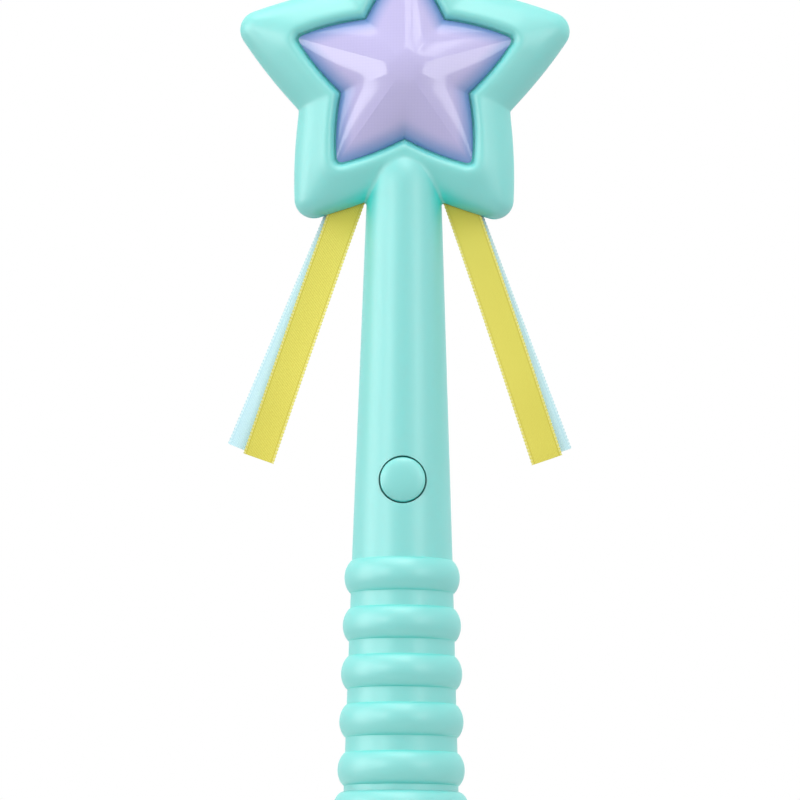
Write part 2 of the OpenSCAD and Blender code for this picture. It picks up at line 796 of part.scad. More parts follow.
module circuit_board() {
    color(board_green) difference() {
        box(
            -board_w / 2, board_w / 2, -board_depth, board_back_y,
            button_z - board_half_len, button_z + board_half_len
        );
        for (side = [-1, 1])
        rod(0, button_z + side * board_boss_z, -reach, over, board_screw_d / 2 + fit_gap);
    }
}
module chip() {
    color("#202022") rod(0, chip_z, board_back_y, board_back_y + chip_h, chip_r);
}
// A screw along Y with its head at the back, from the head's seat
module screw(x, z, seat_y, length, shank_d, head_d, head_h) {
    slot_w = head_d / 6;
    slot_h = head_h / 2;
    difference() {
        union() {
            rod(x, z, seat_y - length, seat_y + head_h / 2, shank_d / 2);
            rod(x, z, seat_y, seat_y + head_h, head_d / 2);
        }
        for (turn = [0, 90])
        translate([x, seat_y + head_h, z]) rotate([0, turn, 0])
        box(-head_d / 3, head_d / 3, -slot_h, over, -slot_w / 2, slot_w / 2);
    }
}
module case_screws() {
    color(steel) for (p = case_posts)
    screw(p[0], p[1], head_seat(p), head_seat(p) + case_screw_reach, screw_d, screw_head_d, screw_head_h);
}
module board_screws() {
    color(steel) {
        for (side = [-1, 1])
        screw(
            0, button_z + side * board_boss_z, board_back_y, board_screw_len,
            board_screw_d, board_screw_head_d, board_screw_head_h
        );
        for (side = [-1, 1])
        screw(
            side * lamp_screw_x, star_z, box_back_y + board_t, board_t + lamp_boss_h - box_wall,
            board_screw_d, board_screw_head_d, board_screw_head_h
        );
    }
}

// Battery bay
module battery_tray() {
    color("dimgray") difference() {
        box(-tray_out_x, tray_out_x, tray_front_y, tray_rear_y, tray_low_z, tray_high_z);
        box(-tray_in_x, tray_in_x, tray_floor_y, tray_rear_y + over, bay_low_z, bay_high_z);
        for (side = [-1, 1])
        box(
            side * cell_x - tab_half_x - drop_gap, side * cell_x + tab_half_x + drop_gap,
            cell_y - contact_t - drop_gap, tray_rear_y + over, bay_high_z - over, tray_high_z + over
        );
    }
}
// A cell standing on z = 0 with its nub up
module cell() {
    body_len = cell_len - nub_h;
    rim_share = 0.06;
    rim = cell_r * rim_share;
    rotate_extrude() polygon([
        [0, 0], [cell_r - rim, 0], [cell_r, rim], [cell_r, body_len - rim], [cell_r - rim, body_len],
        [nub_r, body_len], [nub_r, cell_len], [0, cell_len]
    ]);
}
plate_low_z = bay_low_z + contact_t;
plate_high_z = bay_high_z - contact_t;
module battery_left() {
    color("#3a4f8f") translate([-cell_x, cell_y, plate_low_z + spring_len]) cell();
}
module battery_right() {
    color("#3a4f8f") translate([cell_x, cell_y, plate_high_z - spring_len]) mirror([0, 0, 1]) cell();
}
module contact_link() {
    color(steel) box(
        -contact_out_x, contact_out_x, cell_y - contact_half_y, tray_rear_y, bay_low_z, plate_low_z
    );
}
module contact_plate(side) {
    tab_top_z = tray_high_z + tab_rise;
    color(steel) mirror([side < 0 ? 1 : 0, 0, 0]) {
        box(contact_in_x, contact_out_x, cell_y - contact_half_y, tray_rear_y, plate_high_z, bay_high_z);
        box(
            cell_x - tab_half_x, cell_x + tab_half_x, cell_y - contact_t / 2, cell_y + contact_t / 2,
            plate_high_z + contact_t / 2, tab_top_z
        );
    }
}
module contact_positive() {
    contact_plate(-1);
}
module contact_negative() {
    contact_plate(1);
}
module spring_lower() {
    color(steel) translate([-cell_x, cell_y, plate_low_z]) coil();
}
module spring_upper() {
    color(steel) translate([cell_x, cell_y, plate_high_z]) mirror([0, 0, 1]) coil();
}

// Battery door
module battery_door() {
    half_w = door_half_w - door_gap;
    color(teal) difference() {
        union() {
            intersection() {
                difference() {
                    stem_outside();
                    bore(0);
                }
                box(-half_w, half_w, over, reach, door_low_z + door_gap, door_high_z - door_gap);
            }
            rod(0, door_screw_z, door_boss_y, case_r(door_screw_z) - wall / 2, post_r);
        }
        rod(0, door_screw_z, 0, reach, screw_hole_r);
        rod(0, door_screw_z, door_head_y, reach, head_well_r);
    }
}
module door_screw() {
    color(steel) screw(0, door_screw_z, door_head_y, door_screw_len, screw_d, screw_head_d, screw_head_h);
}

// Ribbons
module strip(x, splay, side, y, outline) {
    mirror([side < 0 ? 1 : 0, 0, 0])
    translate([x, y + ribbon_t / 2, mouth_z(x)])
    rotate([90, -splay, 0])
    linear_extrude(ribbon_t) polygon(outline);
}
// Outlines with x across the strip and y up it, cut along the mouth of the slot
function mouth_rise(splay) = ribbon_w / 2 * tan(splay + edge_slope);
function free_outline(length, splay) =
    let (h = ribbon_w / 2, m = mouth_rise(splay))
    [[-h, m - mouth_gap], [-h, -length], [h, -length], [h, -m - mouth_gap]];
function tail_outline(splay) =
    let (h = ribbon_w / 2, m = mouth_rise(splay))
    [[-h, m], [h, -m], [h, tail_len], [-h, tail_len]];
module ribbon_yellow_left() {
    color(yellow_satin) strip(yellow_x, yellow_splay, -1, -ribbon_y, free_outline(yellow_len, yellow_splay));
}
module ribbon_yellow_right() {
    color(yellow_satin) strip(yellow_x, yellow_splay, 1, -ribbon_y, free_outline(yellow_len, yellow_splay));
}
module ribbon_blue_left() {
    color(blue_satin)
    strip(blue_x, blue_left_splay, -1, ribbon_y, free_outline(blue_left_len, blue_left_splay));
}
module ribbon_blue_right() {
    color(blue_satin)
    strip(blue_x, blue_right_splay, 1, ribbon_y, free_outline(blue_right_len, blue_right_splay));
}
module tail_cuts() {
    for (side = [-1, 1]) rod(side * peg_x, peg_z, -over, over, peg_r + drop_gap);
    star_plate(blend_points(flange_share + tail_gap / frame_w), -over, over);
}
module ribbon_tails_yellow() {
    color(yellow_satin) difference() {
        for (side = [-1, 1]) strip(yellow_x, yellow_splay, side, -ribbon_y, tail_outline(yellow_splay));
        tail_cuts();
    }
}
module ribbon_tails_blue() {
    color(blue_satin) difference() {
        union() {
            strip(blue_x, blue_left_splay, -1, ribbon_y, tail_outline(blue_left_splay));
            strip(blue_x, blue_right_splay, 1, ribbon_y, tail_outline(blue_right_splay));
        }
        tail_cuts();
    }
}

// Wires
module wire_battery_red() {
    color("firebrick") mirrored_wire(battery_route, -1);
}
module wire_battery_black() {
    color("#222222") mirrored_wire(battery_route, 1);
}
module wire_led_red() {
    color("firebrick") mirrored_wire(lamp_route, -1);
}
module wire_led_black() {
    color("#222222") mirrored_wire(lamp_route, 1);
}

front_shell();
rear_shell();
end_cap();
star_lens();
star_reflector();
led_board();
star_leds();
circuit_board();
chip();
button_dome();
push_button();
battery_tray();
battery_left();
battery_right();
contact_link();
contact_positive();
contact_negative();
spring_lower();
spring_upper();
battery_door();
door_screw();
case_screws();
board_screws();
ribbon_yellow_left();
ribbon_yellow_right();
ribbon_blue_left();
ribbon_blue_right();
ribbon_tails_yellow();
ribbon_tails_blue();
wire_battery_red();
wire_battery_black();
wire_led_red();
wire_led_black();
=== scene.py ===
# Looks of a light-up toy wand: a star with a lens and satin ribbons, on a stem with a ribbed grip
import math

import bmesh
import bpy
import numpy as np
from mathutils import Matrix, Vector


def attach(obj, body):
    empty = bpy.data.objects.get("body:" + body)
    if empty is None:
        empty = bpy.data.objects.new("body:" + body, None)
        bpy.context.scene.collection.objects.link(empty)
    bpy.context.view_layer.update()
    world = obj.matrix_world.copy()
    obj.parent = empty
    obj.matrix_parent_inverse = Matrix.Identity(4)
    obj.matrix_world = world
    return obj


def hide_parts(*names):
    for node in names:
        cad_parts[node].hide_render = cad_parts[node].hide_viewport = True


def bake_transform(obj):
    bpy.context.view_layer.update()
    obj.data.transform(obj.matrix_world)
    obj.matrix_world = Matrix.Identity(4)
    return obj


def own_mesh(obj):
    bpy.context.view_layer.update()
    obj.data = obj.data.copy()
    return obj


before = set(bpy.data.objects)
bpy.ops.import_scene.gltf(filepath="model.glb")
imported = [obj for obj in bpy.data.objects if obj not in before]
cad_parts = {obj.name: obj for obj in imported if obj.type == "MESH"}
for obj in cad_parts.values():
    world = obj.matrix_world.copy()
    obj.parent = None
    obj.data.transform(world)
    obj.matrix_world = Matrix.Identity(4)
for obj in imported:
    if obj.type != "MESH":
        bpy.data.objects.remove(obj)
scene = bpy.context.scene
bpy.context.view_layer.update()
MM = 0.001

# Sizes in millimetres, close to those of the solids; the ribs are a little longer here
SHOULDER_Z, GRIP_LOW_R = 16.0, 17.65
GRIP_TOP_Z, GRIP_TOP_R = 88.5, 15.5
STEM_TOP_Z, STEM_TOP_R, NOSE = 199.6, 11.7, 16.0
WALL, SEAM = 2.2, 0.05
RIBS, RIB_FIRST, RIB_PITCH, RIB_LEN, RIB_H = 5, 22.95, 14.8, 10.1, 2.1
STAR_Z, STAR_TIP, STAR_NOTCH, STAR_ROUND = 238.9, 54.0, 34.4, 6.05
STAR_RIDGE, STAR_REAR = 10.0, 9.0
LENS_TIP, LENS_NOTCH, LENS_ROUND = 35.4, 21.1, 1.8
LENS_EDGE_Y, LENS_RISE, LENS_SEAT_Y = -7.3, 10.0, -5.6
EDGE_BOW = 0.7
LOWER_EDGE_SLOPE = 0.37691
BUTTON_Z, BUTTON_R, BUTTON_HOLE_R = 111.0, 6.9, 7.4
DOOR_X, DOOR_LOW, DOOR_HIGH, DOOR_GAP = 11.5, 22.5, 78.0, 0.25
DOOR_SCREW_Z, DOOR_SEAT_Y, DOOR_POST_R, DOOR_INNER_Y = 74.7, 9.67, 2.9, 1
SCREW_HOLE_R, SCREW_WELL_R = 1.3, 2.8
RIBBON_WIDTH, RIBBON_TAIL = 10.0, 8.5
YELLOW_X, YELLOW_SPLAY = 17.9, 19.3


def case_r(z):
    """The case's radius at a height, without its ribs."""
    z = np.asarray(z, float)
    low = GRIP_TOP_R + (GRIP_TOP_Z - z) * (GRIP_LOW_R - GRIP_TOP_R) / (GRIP_TOP_Z - SHOULDER_Z)
    high = STEM_TOP_R + (STEM_TOP_Z - z) * (GRIP_TOP_R - STEM_TOP_R) / (STEM_TOP_Z - GRIP_TOP_Z)
    return np.where(z < GRIP_TOP_Z, low, high)


def mouth_z(x):
    """The height of the star's lower edge, where a ribbon leaves it."""
    return STAR_Z - STAR_NOTCH - LOWER_EDGE_SLOPE * x


# Meshes
def add_mesh(name, verts, faces):
    mesh = bpy.data.meshes.new(name)
    mesh.from_pydata((np.asarray(verts, float) * MM).tolist(), [], [list(map(int, f)) for f in faces])
    mesh.update()
    obj = bpy.data.objects.new(name, mesh)
    scene.collection.objects.link(obj)
    return obj


def lathe(profile, segs=144, axis="z", at=(0, 0, 0)):
    """Vertices and faces of (radius, place) pairs turned round an axis; a radius of 0 is a pole."""
    verts, rings = [], []
    for r, h in profile:
        if r < 1e-6:
            rings.append([len(verts)])
            verts.append((0, 0, h))
        else:
            rings.append(list(range(len(verts), len(verts) + segs)))
            for k in range(segs):
                a = 2 * math.pi * k / segs
                verts.append((r * math.cos(a), r * math.sin(a), h))
    faces = []
    for a, b in zip(rings, rings[1:]):
        for k in range(segs):
            j = (k + 1) % segs
            if len(a) == 1:
                faces.append((a[0], b[j], b[k]))
            elif len(b) == 1:
                faces.append((a[k], a[j], b[0]))
            else:
                faces.append((a[k], a[j], b[j], b[k]))
    verts = np.array(verts, float)
    if axis == "y":  # the profile's place runs along -Y
        verts = np.stack([verts[:, 0], -verts[:, 2], verts[:, 1]], 1)
    return verts + np.array(at, float), faces


def rod(name, x, z, y0, y1, r, segs=64):
    """A closed cylinder along Y."""
    return add_mesh(name, *lathe([(0, -y1), (r, -y1), (r, -y0), (0, -y0)], segs, "y", (x, 0, z)))


def box(name, x0, x1, y0, y1, z0, z1):
    verts = [(x, y, z) for x in (x0, x1) for y in (y0, y1) for z in (z0, z1)]
    faces = [(0, 1, 3, 2), (4, 6, 7, 5), (0, 4, 5, 1), (2, 3, 7, 6), (0, 2, 6, 4), (1, 5, 7, 3)]
    return add_mesh(name, verts, faces)


def gridded(obj, cuts=24):
    """Splits a box's faces into a grid, so that no face left by a cut runs round the whole case."""
    bm = bmesh.new()
    bm.from_mesh(obj.data)
    bmesh.ops.subdivide_edges(bm, edges=bm.edges[:], cuts=cuts, use_grid_fill=True)
    bm.to_mesh(obj.data)
    bm.free()
    return obj


def prism(name, points, y0, y1):
    """A closed prism of an outline in x and z about the star's middle, with its ends in small faces."""
    shares = (1.0, 0.8, 0.6, 0.4, 0.2)
    n = len(points)
    verts, faces = [], []
    for y in (y0, y1):
        verts += [(x * u, y, STAR_Z + z * u) for u in shares for x, z in points]
        verts.append((0, y, STAR_Z))
    end = n * len(shares) + 1
    last = n * (len(shares) - 1)
    for i in range(n):
        j = (i + 1) % n
        faces.append((i, j, end + j, end + i))
        for ring in range(0, last, n):
            faces.append((ring + j, ring + i, ring + n + i, ring + n + j))
            faces.append((end + ring + i, end + ring + j, end + ring + n + j, end + ring + n + i))
        faces.append((last + j, last + i, end - 1))
        faces.append((end + last + i, end + last + j, 2 * end - 1))
    return add_mesh(name, verts, faces)


def combine(obj, other, operation="DIFFERENCE"):
    """Cuts, joins or trims obj by the other mesh, which is used up."""
    mod = obj.modifiers.new("cut", "BOOLEAN")
    mod.object, mod.operation, mod.solver = other, operation, "MANIFOLD"
    bpy.context.view_layer.update()
    made = bpy.data.meshes.new_from_object(obj.evaluated_get(bpy.context.evaluated_depsgraph_get()))
    obj.modifiers.clear()
    if len(made.vertices) == len(obj.data.vertices):
        raise RuntimeError(obj.name + " was left unchanged by " + other.name)
    obj.data = made
    bpy.data.objects.remove(other)
    return obj


def copy_of(obj, name):
    new = bpy.data.objects.new(name, obj.data.copy())
    scene.collection.objects.link(new)
    return new


def smooth(obj, degrees=32):
    obj.data.polygons.foreach_set("use_smooth", [True] * len(obj.data.polygons))
    obj.data.set_sharp_from_angle(angle=math.radians(degrees))
    obj.data.update()
    return obj


def quarter_turn(steps):
    return [math.pi / 2 * k / steps for k in range(steps + 1)]


def soften(points, reach, steps=3, least_turn=20):
    """Rounds the corners of a line of (radius, place) pairs that turn by more than least_turn degrees."""
    p = [np.array(q, float) for q in points]
    out = [p[0]]
    for a, b, c in zip(p, p[1:], p[2:]):
        u, v = b - a, c - b
        turn = abs(math.atan2(u[0] * v[1] - u[1] * v[0], u @ v))
        if turn < math.radians(least_turn):
            out.append(b)
            continue
        i = b - u / np.linalg.norm(u) * min(reach, np.linalg.norm(u) / 2)
        o = b + v / np.linalg.norm(v) * min(reach, np.linalg.norm(v) / 2)
        for k in range(steps + 1):
            t = k / steps
            out.append((1 - t) ** 2 * i + 2 * t * (1 - t) * b + t * t * o)
    return [tuple(q) for q in out + [p[-1]]]


# Star outlines: a polygon drawn in by the rounding, and how far its edges bow out
def star_outline(tip, notch, rnd, bow):
    c = tip - rnd
    n = np.array([notch * math.cos(math.pi / 5), notch * math.sin(math.pi / 5)])
    half = math.atan2(n[1], n[0] - c) - math.acos(rnd / math.hypot(n[0] - c, n[1]))
    inner = c * math.cos(half) / math.cos(math.pi / 5 - half)
    points = []
    for k in range(5):
        a = math.pi / 2 + k * 2 * math.pi / 5
        points.append((c * math.cos(a), c * math.sin(a)))
        points.append((inner * math.cos(a + math.pi / 5), inner * math.sin(a + math.pi / 5)))
    return {"points": np.array(points), "round": rnd, "bow": bow}


def distance(x, z, star):
    """Signed distance to a star's outline, negative inside."""
    p = star["points"]
    best, place = np.full(np.shape(x), 1e9), np.zeros(np.shape(x))
    inside = np.zeros(np.shape(x), bool)
    for i in range(len(p)):
        a, b = p[i], p[(i + 1) % len(p)]
        e = b - a
        t = np.clip(((x - a[0]) * e[0] + (z - a[1]) * e[1]) / (e @ e), 0, 1)
        d = np.hypot(x - a[0] - t * e[0], z - a[1] - t * e[1])
        place = np.where(d < best, t, place)
        best = np.minimum(d, best)
        crosses = (a[1] > z) != (b[1] > z)
        at = a[0] + (z - a[1]) / (e[1] if abs(e[1]) > 1e-9 else 1e-9) * e[0]
        inside ^= crosses & (x < at)
    return np.where(inside, -best, best) - star["round"] - star["bow"] * 4 * place * (1 - place)


def right_of(a, b):
    """The unit vector to the right of the way from a to b."""
    e = (b - a) / np.linalg.norm(b - a)
    return np.array([e[1], -e[0]])


def outline_points(star, grow=0.0, per_edge=24, per_tip=10):
    """Points round a star's outline, with its bowed edges and rounded tips."""
    p, out = star["points"], []
    r = star["round"] + grow

    def add_edge(start, end, n, steps):
        for k in steps:
            t = k / per_edge
            out.append((1 - t) * start + t * end + n * star["bow"] * 4 * t * (1 - t))

    for i in range(0, 10, 2):
        tip, before, after, following = p[i], p[i - 1], p[(i + 1) % 10], p[(i + 2) % 10]
        n0, n1, n2 = right_of(before, tip), right_of(tip, after), right_of(after, following)
        a0 = math.atan2(n0[1], n0[0])
        a1 = math.atan2(n1[1], n1[0])
        a1 = a0 + (a1 - a0 + math.pi) % (2 * math.pi) - math.pi
        for k in range(per_tip + 1):
            a = a0 + (a1 - a0) * k / per_tip
            out.append(tip + r * np.array([math.cos(a), math.sin(a)]))
        middle = n1 + n2
        corner = after + middle / (middle @ n1) * r
        add_edge(tip + n1 * r, corner, n1, range(1, per_edge + 1))
        add_edge(corner, following + n2 * r, n2, range(1, per_edge))
    return np.array(out)


OUTER = star_outline(STAR_TIP, STAR_NOTCH, STAR_ROUND, EDGE_BOW)
OPENING = star_outline(LENS_TIP, LENS_NOTCH, LENS_ROUND, EDGE_BOW)


# Depth of the star's front and back skins, on a lattice about the star's middle
def blur(field, sigma):
    n = int(math.ceil(3 * sigma))
    k = np.exp(-0.5 * (np.arange(-n, n + 1) / sigma) ** 2)
    k /= k.sum()
    padded = np.pad(field, n, mode="edge")
    padded = np.apply_along_axis(lambda v: np.convolve(v, k, "valid"), 0, padded)
    return np.apply_along_axis(lambda v: np.convolve(v, k, "valid"), 1, padded)


def smin(a, b, k):
    h = np.maximum(k - np.abs(a - b), 0) / k
    return np.minimum(a, b) - h * h * k / 4


def smax(a, b, k):
    return -smin(-a, -b, k)


def ease(t):
    t = np.clip(t, 0, 1)
    return t * t * (3 - 2 * t)


LATTICE, HALF = 0.5, 58.0
LATTICE_LINE = np.arange(-HALF, HALF + 1e-6, LATTICE)


def star_skins():
    """How far the front and back skins stand out; band is 0 at the lens opening and 1 at the star's edge."""
    outer_blur, opening_blur = 2.4, 0.5
    ridge_at, ridge_lift, bevel_drop, bevel_power = 0.15, 0.15, 5.3, 1.25
    lip_low, lip_rise, lip_in, lip_wide = 7.2, 3.0, 0.8, 3.8
    back_at, back_drop, panel_in = 0.08, 4.5, 0.8
    x, z = np.meshgrid(LATTICE_LINE, LATTICE_LINE, indexing="ij")
    d_out = blur(distance(x, z, OUTER), outer_blur / LATTICE)
    d_in = blur(distance(x, z, OPENING), opening_blur / LATTICE)
    band = d_in / np.maximum(d_in - d_out, 1.0)
    slope = np.clip((band - ridge_at) / (1 - ridge_at), 0, 2) ** bevel_power
    bevel = STAR_RIDGE + ridge_lift - bevel_drop * slope
    lip = lip_low + lip_rise * np.sin(np.clip((d_in + lip_in) / lip_wide, -0.4, 1) * math.pi / 2)
    back = STAR_REAR - (band - back_at) / (1 - back_at) * back_drop
    rear = smin(back, np.full_like(back, STAR_REAR), 0.9) - ease(-d_in - panel_in)
    return smin(bevel, lip, 1.0), rear


SKIN_FRONT, SKIN_REAR = star_skins()


def sample(field, x, z):
    u = np.clip((x + HALF) / LATTICE, 0, len(LATTICE_LINE) - 1.001)
    v = np.clip((z + HALF) / LATTICE, 0, len(LATTICE_LINE) - 1.001)
    i, j = u.astype(int), v.astype(int)
    s, t = u - i, v - j
    return ((1 - s) * (1 - t) * field[i, j] + s * (1 - t) * field[i + 1, j]
            + (1 - s) * t * field[i, j + 1] + s * t * field[i + 1, j + 1])


def head(x, y, z):
    """Below zero inside the star and the top of the stem, which runs up onto it as a rounded tongue."""
    skin_scale, grown, edge_blend, stem_blend = 0.9, 0.3, 6.0, 1.1
    at = z - STAR_Z
    front = (-y - sample(SKIN_FRONT, x, at)) * skin_scale
    rear = (y - sample(SKIN_REAR, x, at)) * skin_scale
    star = smax(smax(distance(x, at, OUTER) - grown, front, edge_blend), rear, edge_blend)
    rad = np.hypot(x, y)
    above = np.maximum(z - STEM_TOP_Z, 0) / NOSE
    nose = (((rad / STEM_TOP_R) ** 3 + above ** 3) ** (1 / 3) - 1) * STEM_TOP_R
    stem = np.where(z < STEM_TOP_Z, rad - case_r(np.minimum(z, STEM_TOP_Z)), nose)
    return smin(star, stem, stem_blend)


def surface(f, lo, hi, step):
    """A quad mesh of the surface where f is zero, one vertex to each cell of a lattice that it crosses."""
    n = [int(round((b - a) / step)) + 1 for a, b in zip(lo, hi)]
    ax = [a + step * np.arange(k) for a, k in zip(lo, n)]
    flat_x, flat_z = np.meshgrid(ax[0], ax[2], indexing="ij")
    value = np.stack([f(flat_x, np.full_like(flat_x, y), flat_z) for y in ax[1]], 1)
    total, count = np.zeros([k - 1 for k in n] + [3]), np.zeros([k - 1 for k in n])
    for k in range(3):
        i, j = [q for q in range(3) if q != k]
        for di in (0, 1):
            for dj in (0, 1):
                a, b = [slice(0, -1)] * 3, [slice(0, -1)] * 3
                for q, d in ((i, di), (j, dj)):
                    a[q] = b[q] = slice(d, None if d else -1)
                a[k], b[k] = slice(0, -1), slice(1, None)
                va, vb = value[tuple(a)], value[tuple(b)]
                cross = (va < 0) != (vb < 0)
                t = np.where(cross, va / np.where(cross, va - vb, 1), 0)
                count += cross
                total[..., k] += np.where(cross, t, 0)
                total[..., i] += np.where(cross, di, 0)
                total[..., j] += np.where(cross, dj, 0)
    cells = np.argwhere(count > 0)
    number = np.full(count.shape, -1)
    number[tuple(cells.T)] = np.arange(len(cells))
    local = total[tuple(cells.T)] / count[tuple(cells.T)][:, None]
    verts = np.array(lo) + (cells + local) * step
    faces = []
    for k in range(3):
        i, j = (k + 1) % 3, (k + 2) % 3
        a, b = [slice(1, -1)] * 3, [slice(1, -1)] * 3
        a[k], b[k] = slice(0, -1), slice(1, None)
        sa, sb = value[tuple(a)] < 0, value[tuple(b)] < 0
        for flip, mask in ((False, sa & ~sb), (True, ~sa & sb)):
            at = np.argwhere(mask)
            at[:, i] += 1
            at[:, j] += 1
            quad = []
            for di, dj in ((-1, -1), (0, -1), (0, 0), (-1, 0)):
                c = at.copy()
                c[:, i] += di
                c[:, j] += dj
                quad.append(number[tuple(c.T)])
            quad = np.stack(quad, 1)
            faces.append(quad[:, ::-1] if flip else quad)
    return drawn_to(f, verts, step), np.concatenate(faces)


def drawn_to(f, verts, step, rounds=3, eps=0.02, least_slope=0.05):
    """Moves vertices onto the surface where f is zero, by at most half a step in each round."""
    for _ in range(rounds):
        v = f(*verts.T)
        g = [(f(*(verts + eps * way).T) - f(*(verts - eps * way).T)) / (2 * eps) for way in np.eye(3)]
        g = np.stack(g, 1)
        move = -v[:, None] * g / np.maximum((g * g).sum(1), least_slope)[:, None]
        far = np.linalg.norm(move, axis=1, keepdims=True)
        verts = verts + move * np.minimum(1, 0.5 * step / np.maximum(far, 1e-9))
    return verts


def grip_profile(top_z):
    """The outside of the ribbed grip and of the stem above it, as (radius, height) pairs."""
    rib_steps, rib_power, rib_round = 24, 1.5, 0.6
    points = [(GRIP_LOW_R, SHOULDER_Z)]
    for i in range(RIBS):
        mid = RIB_FIRST + i * RIB_PITCH
        for k in range(rib_steps + 1):
            a = math.pi * k / rib_steps
            z = mid - RIB_LEN / 2 * math.cos(a)
            points.append((float(case_r(z)) + RIB_H * math.sin(a) ** rib_power, z))
    points.append((GRIP_TOP_R, GRIP_TOP_Z))
    points += [(float(case_r(z)), z) for z in np.linspace(GRIP_TOP_Z + 2, top_z, 40)]
    return soften(points, rib_round)


def stitched(ring, high, verts):
    """Triangles between two rings of vertices, both in order round the stem."""
    def angle(line, k):
        v = line[k % len(line)]
        return math.atan2(verts[v, 1], verts[v, 0]) + (2 * math.pi if k >= len(line) else 0)

    faces = []
    i = j = 0
    while i < len(ring) or j < len(high):
        a, b = ring[i % len(ring)], high[j % len(high)]
        if j >= len(high) or (i < len(ring) and angle(ring, i + 1) <= angle(high, j + 1)):
            faces.append((a, ring[(i + 1) % len(ring)], b))
            i += 1
        else:
            faces.append((a, high[(j + 1) % len(high)], b))
            j += 1
    return faces


def case_solid():
    """The outside of the whole case as one closed mesh: a turned grip and stem, and the star on top."""
    bridge_z, step, half_x, half_y, top_z, segs = 187.0, 0.5, 56.0, 15.0, 296.0, 144
    head_v, head_f = surface(head, (-half_x, -half_y, bridge_z + step), (half_x, half_y, top_z), step)
    uses = {}
    for f in head_f:
        for a, b in zip(f, np.roll(f, -1)):
            key = (min(a, b), max(a, b))
            uses[key] = uses.get(key, 0) + 1
    rim = sorted({v for e, n in uses.items() if n == 1 for v in e},
                 key=lambda v: math.atan2(head_v[v, 1], head_v[v, 0]))
    rim_z = bridge_z + 1.5 * step
    for v in rim:
        p = head_v[v, :2]
        head_v[v] = (*(p / np.linalg.norm(p) * float(case_r(rim_z))), rim_z)
    low_v, low_f = lathe([(0, SHOULDER_Z)] + grip_profile(bridge_z), segs)
    ring = sorted(range(len(low_v) - segs, len(low_v)), key=lambda v: math.atan2(low_v[v, 1], low_v[v, 0]))
    verts = np.concatenate([low_v, head_v])
    faces = list(low_f) + [tuple(len(low_v) + f) for f in head_f]
    return add_mesh("case", verts, faces + stitched(ring, [len(low_v) + v for v in rim], verts))


# Cutters; those that run right through the case end at one of these reaches
HALF_FAR, TOP_FAR, BOX_FAR, ROD_FAR = 70, 300, 60, 40


def bore(name, inset, low=15.0, high=208.9):
    cut = WALL + inset
    return add_mesh(name, *lathe([
        (0, low), (float(case_r(low)) - cut, low), (GRIP_TOP_R - cut, GRIP_TOP_Z),
        (STEM_TOP_R - cut, STEM_TOP_Z), (STEM_TOP_R - cut, high), (0, high)], 96))


def star_hollow(inset):
    front_y, rear_y = -5.2, 5.6
    return prism("star_hollow", outline_points(OUTER, -WALL - inset, 6, 4), front_y, rear_y)


def ribbon_slot(name, side):
    """A box round the ribbons where they leave the star."""
    left, right, half_y, low, high = -5.8, 9.0, 1.0, -10.0, 9.3
    obj = box(name, left, right, -half_y, half_y, low, high)
    turn = Matrix.Rotation(math.radians(-YELLOW_SPLAY), 4, "Y")
    move = Matrix.Translation(Vector((YELLOW_X, 0, mouth_z(YELLOW_X))) * MM)
    mirror = Matrix.Diagonal((side, 1, 1, 1))
    obj.data.transform(mirror @ move @ turn)
    if side < 0:
        obj.data.flip_normals()
    return obj


# The two halves of the case, and the battery door
def half_of(case, name, y0, y1, hollow_inset):
    """One half of the case, bored out, with a hollow in its star."""
    obj = copy_of(case, name)
    combine(obj, gridded(box("half", -HALF_FAR, HALF_FAR, y0, y1, 0, TOP_FAR)), "INTERSECT")
    combine(obj, bore("bore", 0))
    return combine(obj, star_hollow(hollow_inset))


def front_half(case):
    opening_gap, opening_out, opening_in = 0.15, -20, -4
    hole_out, hole_in = -30, -5
    post_start, post_gap, drill_start, drill_end = -14.6, 0.1, 2, 12
    obj = half_of(case, "front_case", -HALF_FAR, -SEAM, hollow_inset=2.4)
    combine(obj, prism("opening", outline_points(OPENING, opening_gap), opening_out, opening_in))
    combine(obj, rod("button_hole", 0, BUTTON_Z, hole_out, hole_in, BUTTON_HOLE_R, 96))
    for side in (-1, 1):
        combine(obj, ribbon_slot("slot", side))
    combine(obj, rod("door_post", 0, DOOR_SCREW_Z, post_start, DOOR_SEAT_Y - post_gap, DOOR_POST_R), "UNION")
    combine(obj, rod("door_post_hole", 0, DOOR_SCREW_Z, drill_start, drill_end, SCREW_HOLE_R))
    return smooth(obj)


def screw_posts():
    """The case screws' posts, as (x, z, the depth of the screw's seat, the post's end)."""
    ring, seat, end, stem_seat = 44.5, 3.24, 5.0, 5.775
    turns = [math.radians(a) for a in (90, 18, 162)]
    in_star = [(ring * math.cos(a), STAR_Z + ring * math.sin(a), seat, end) for a in turns]
    return in_star + [(0.0, 147.17, stem_seat, 11.5), (0.0, 183.12, stem_seat, 10.5)]


def door_ledge(low, high):
    """A ledge inside the grip that one end of the door rests on."""
    half_x, proud, thick, below, above = 10, 0.3, 1.3, 10.0, 220.0
    ledge = bore("ledge", -proud)
    combine(ledge, bore("ledge_in", thick, below, above))
    return combine(ledge, box("ledge_box", -half_x, half_x, DOOR_SEAT_Y, BOX_FAR, low, high), "INTERSECT")


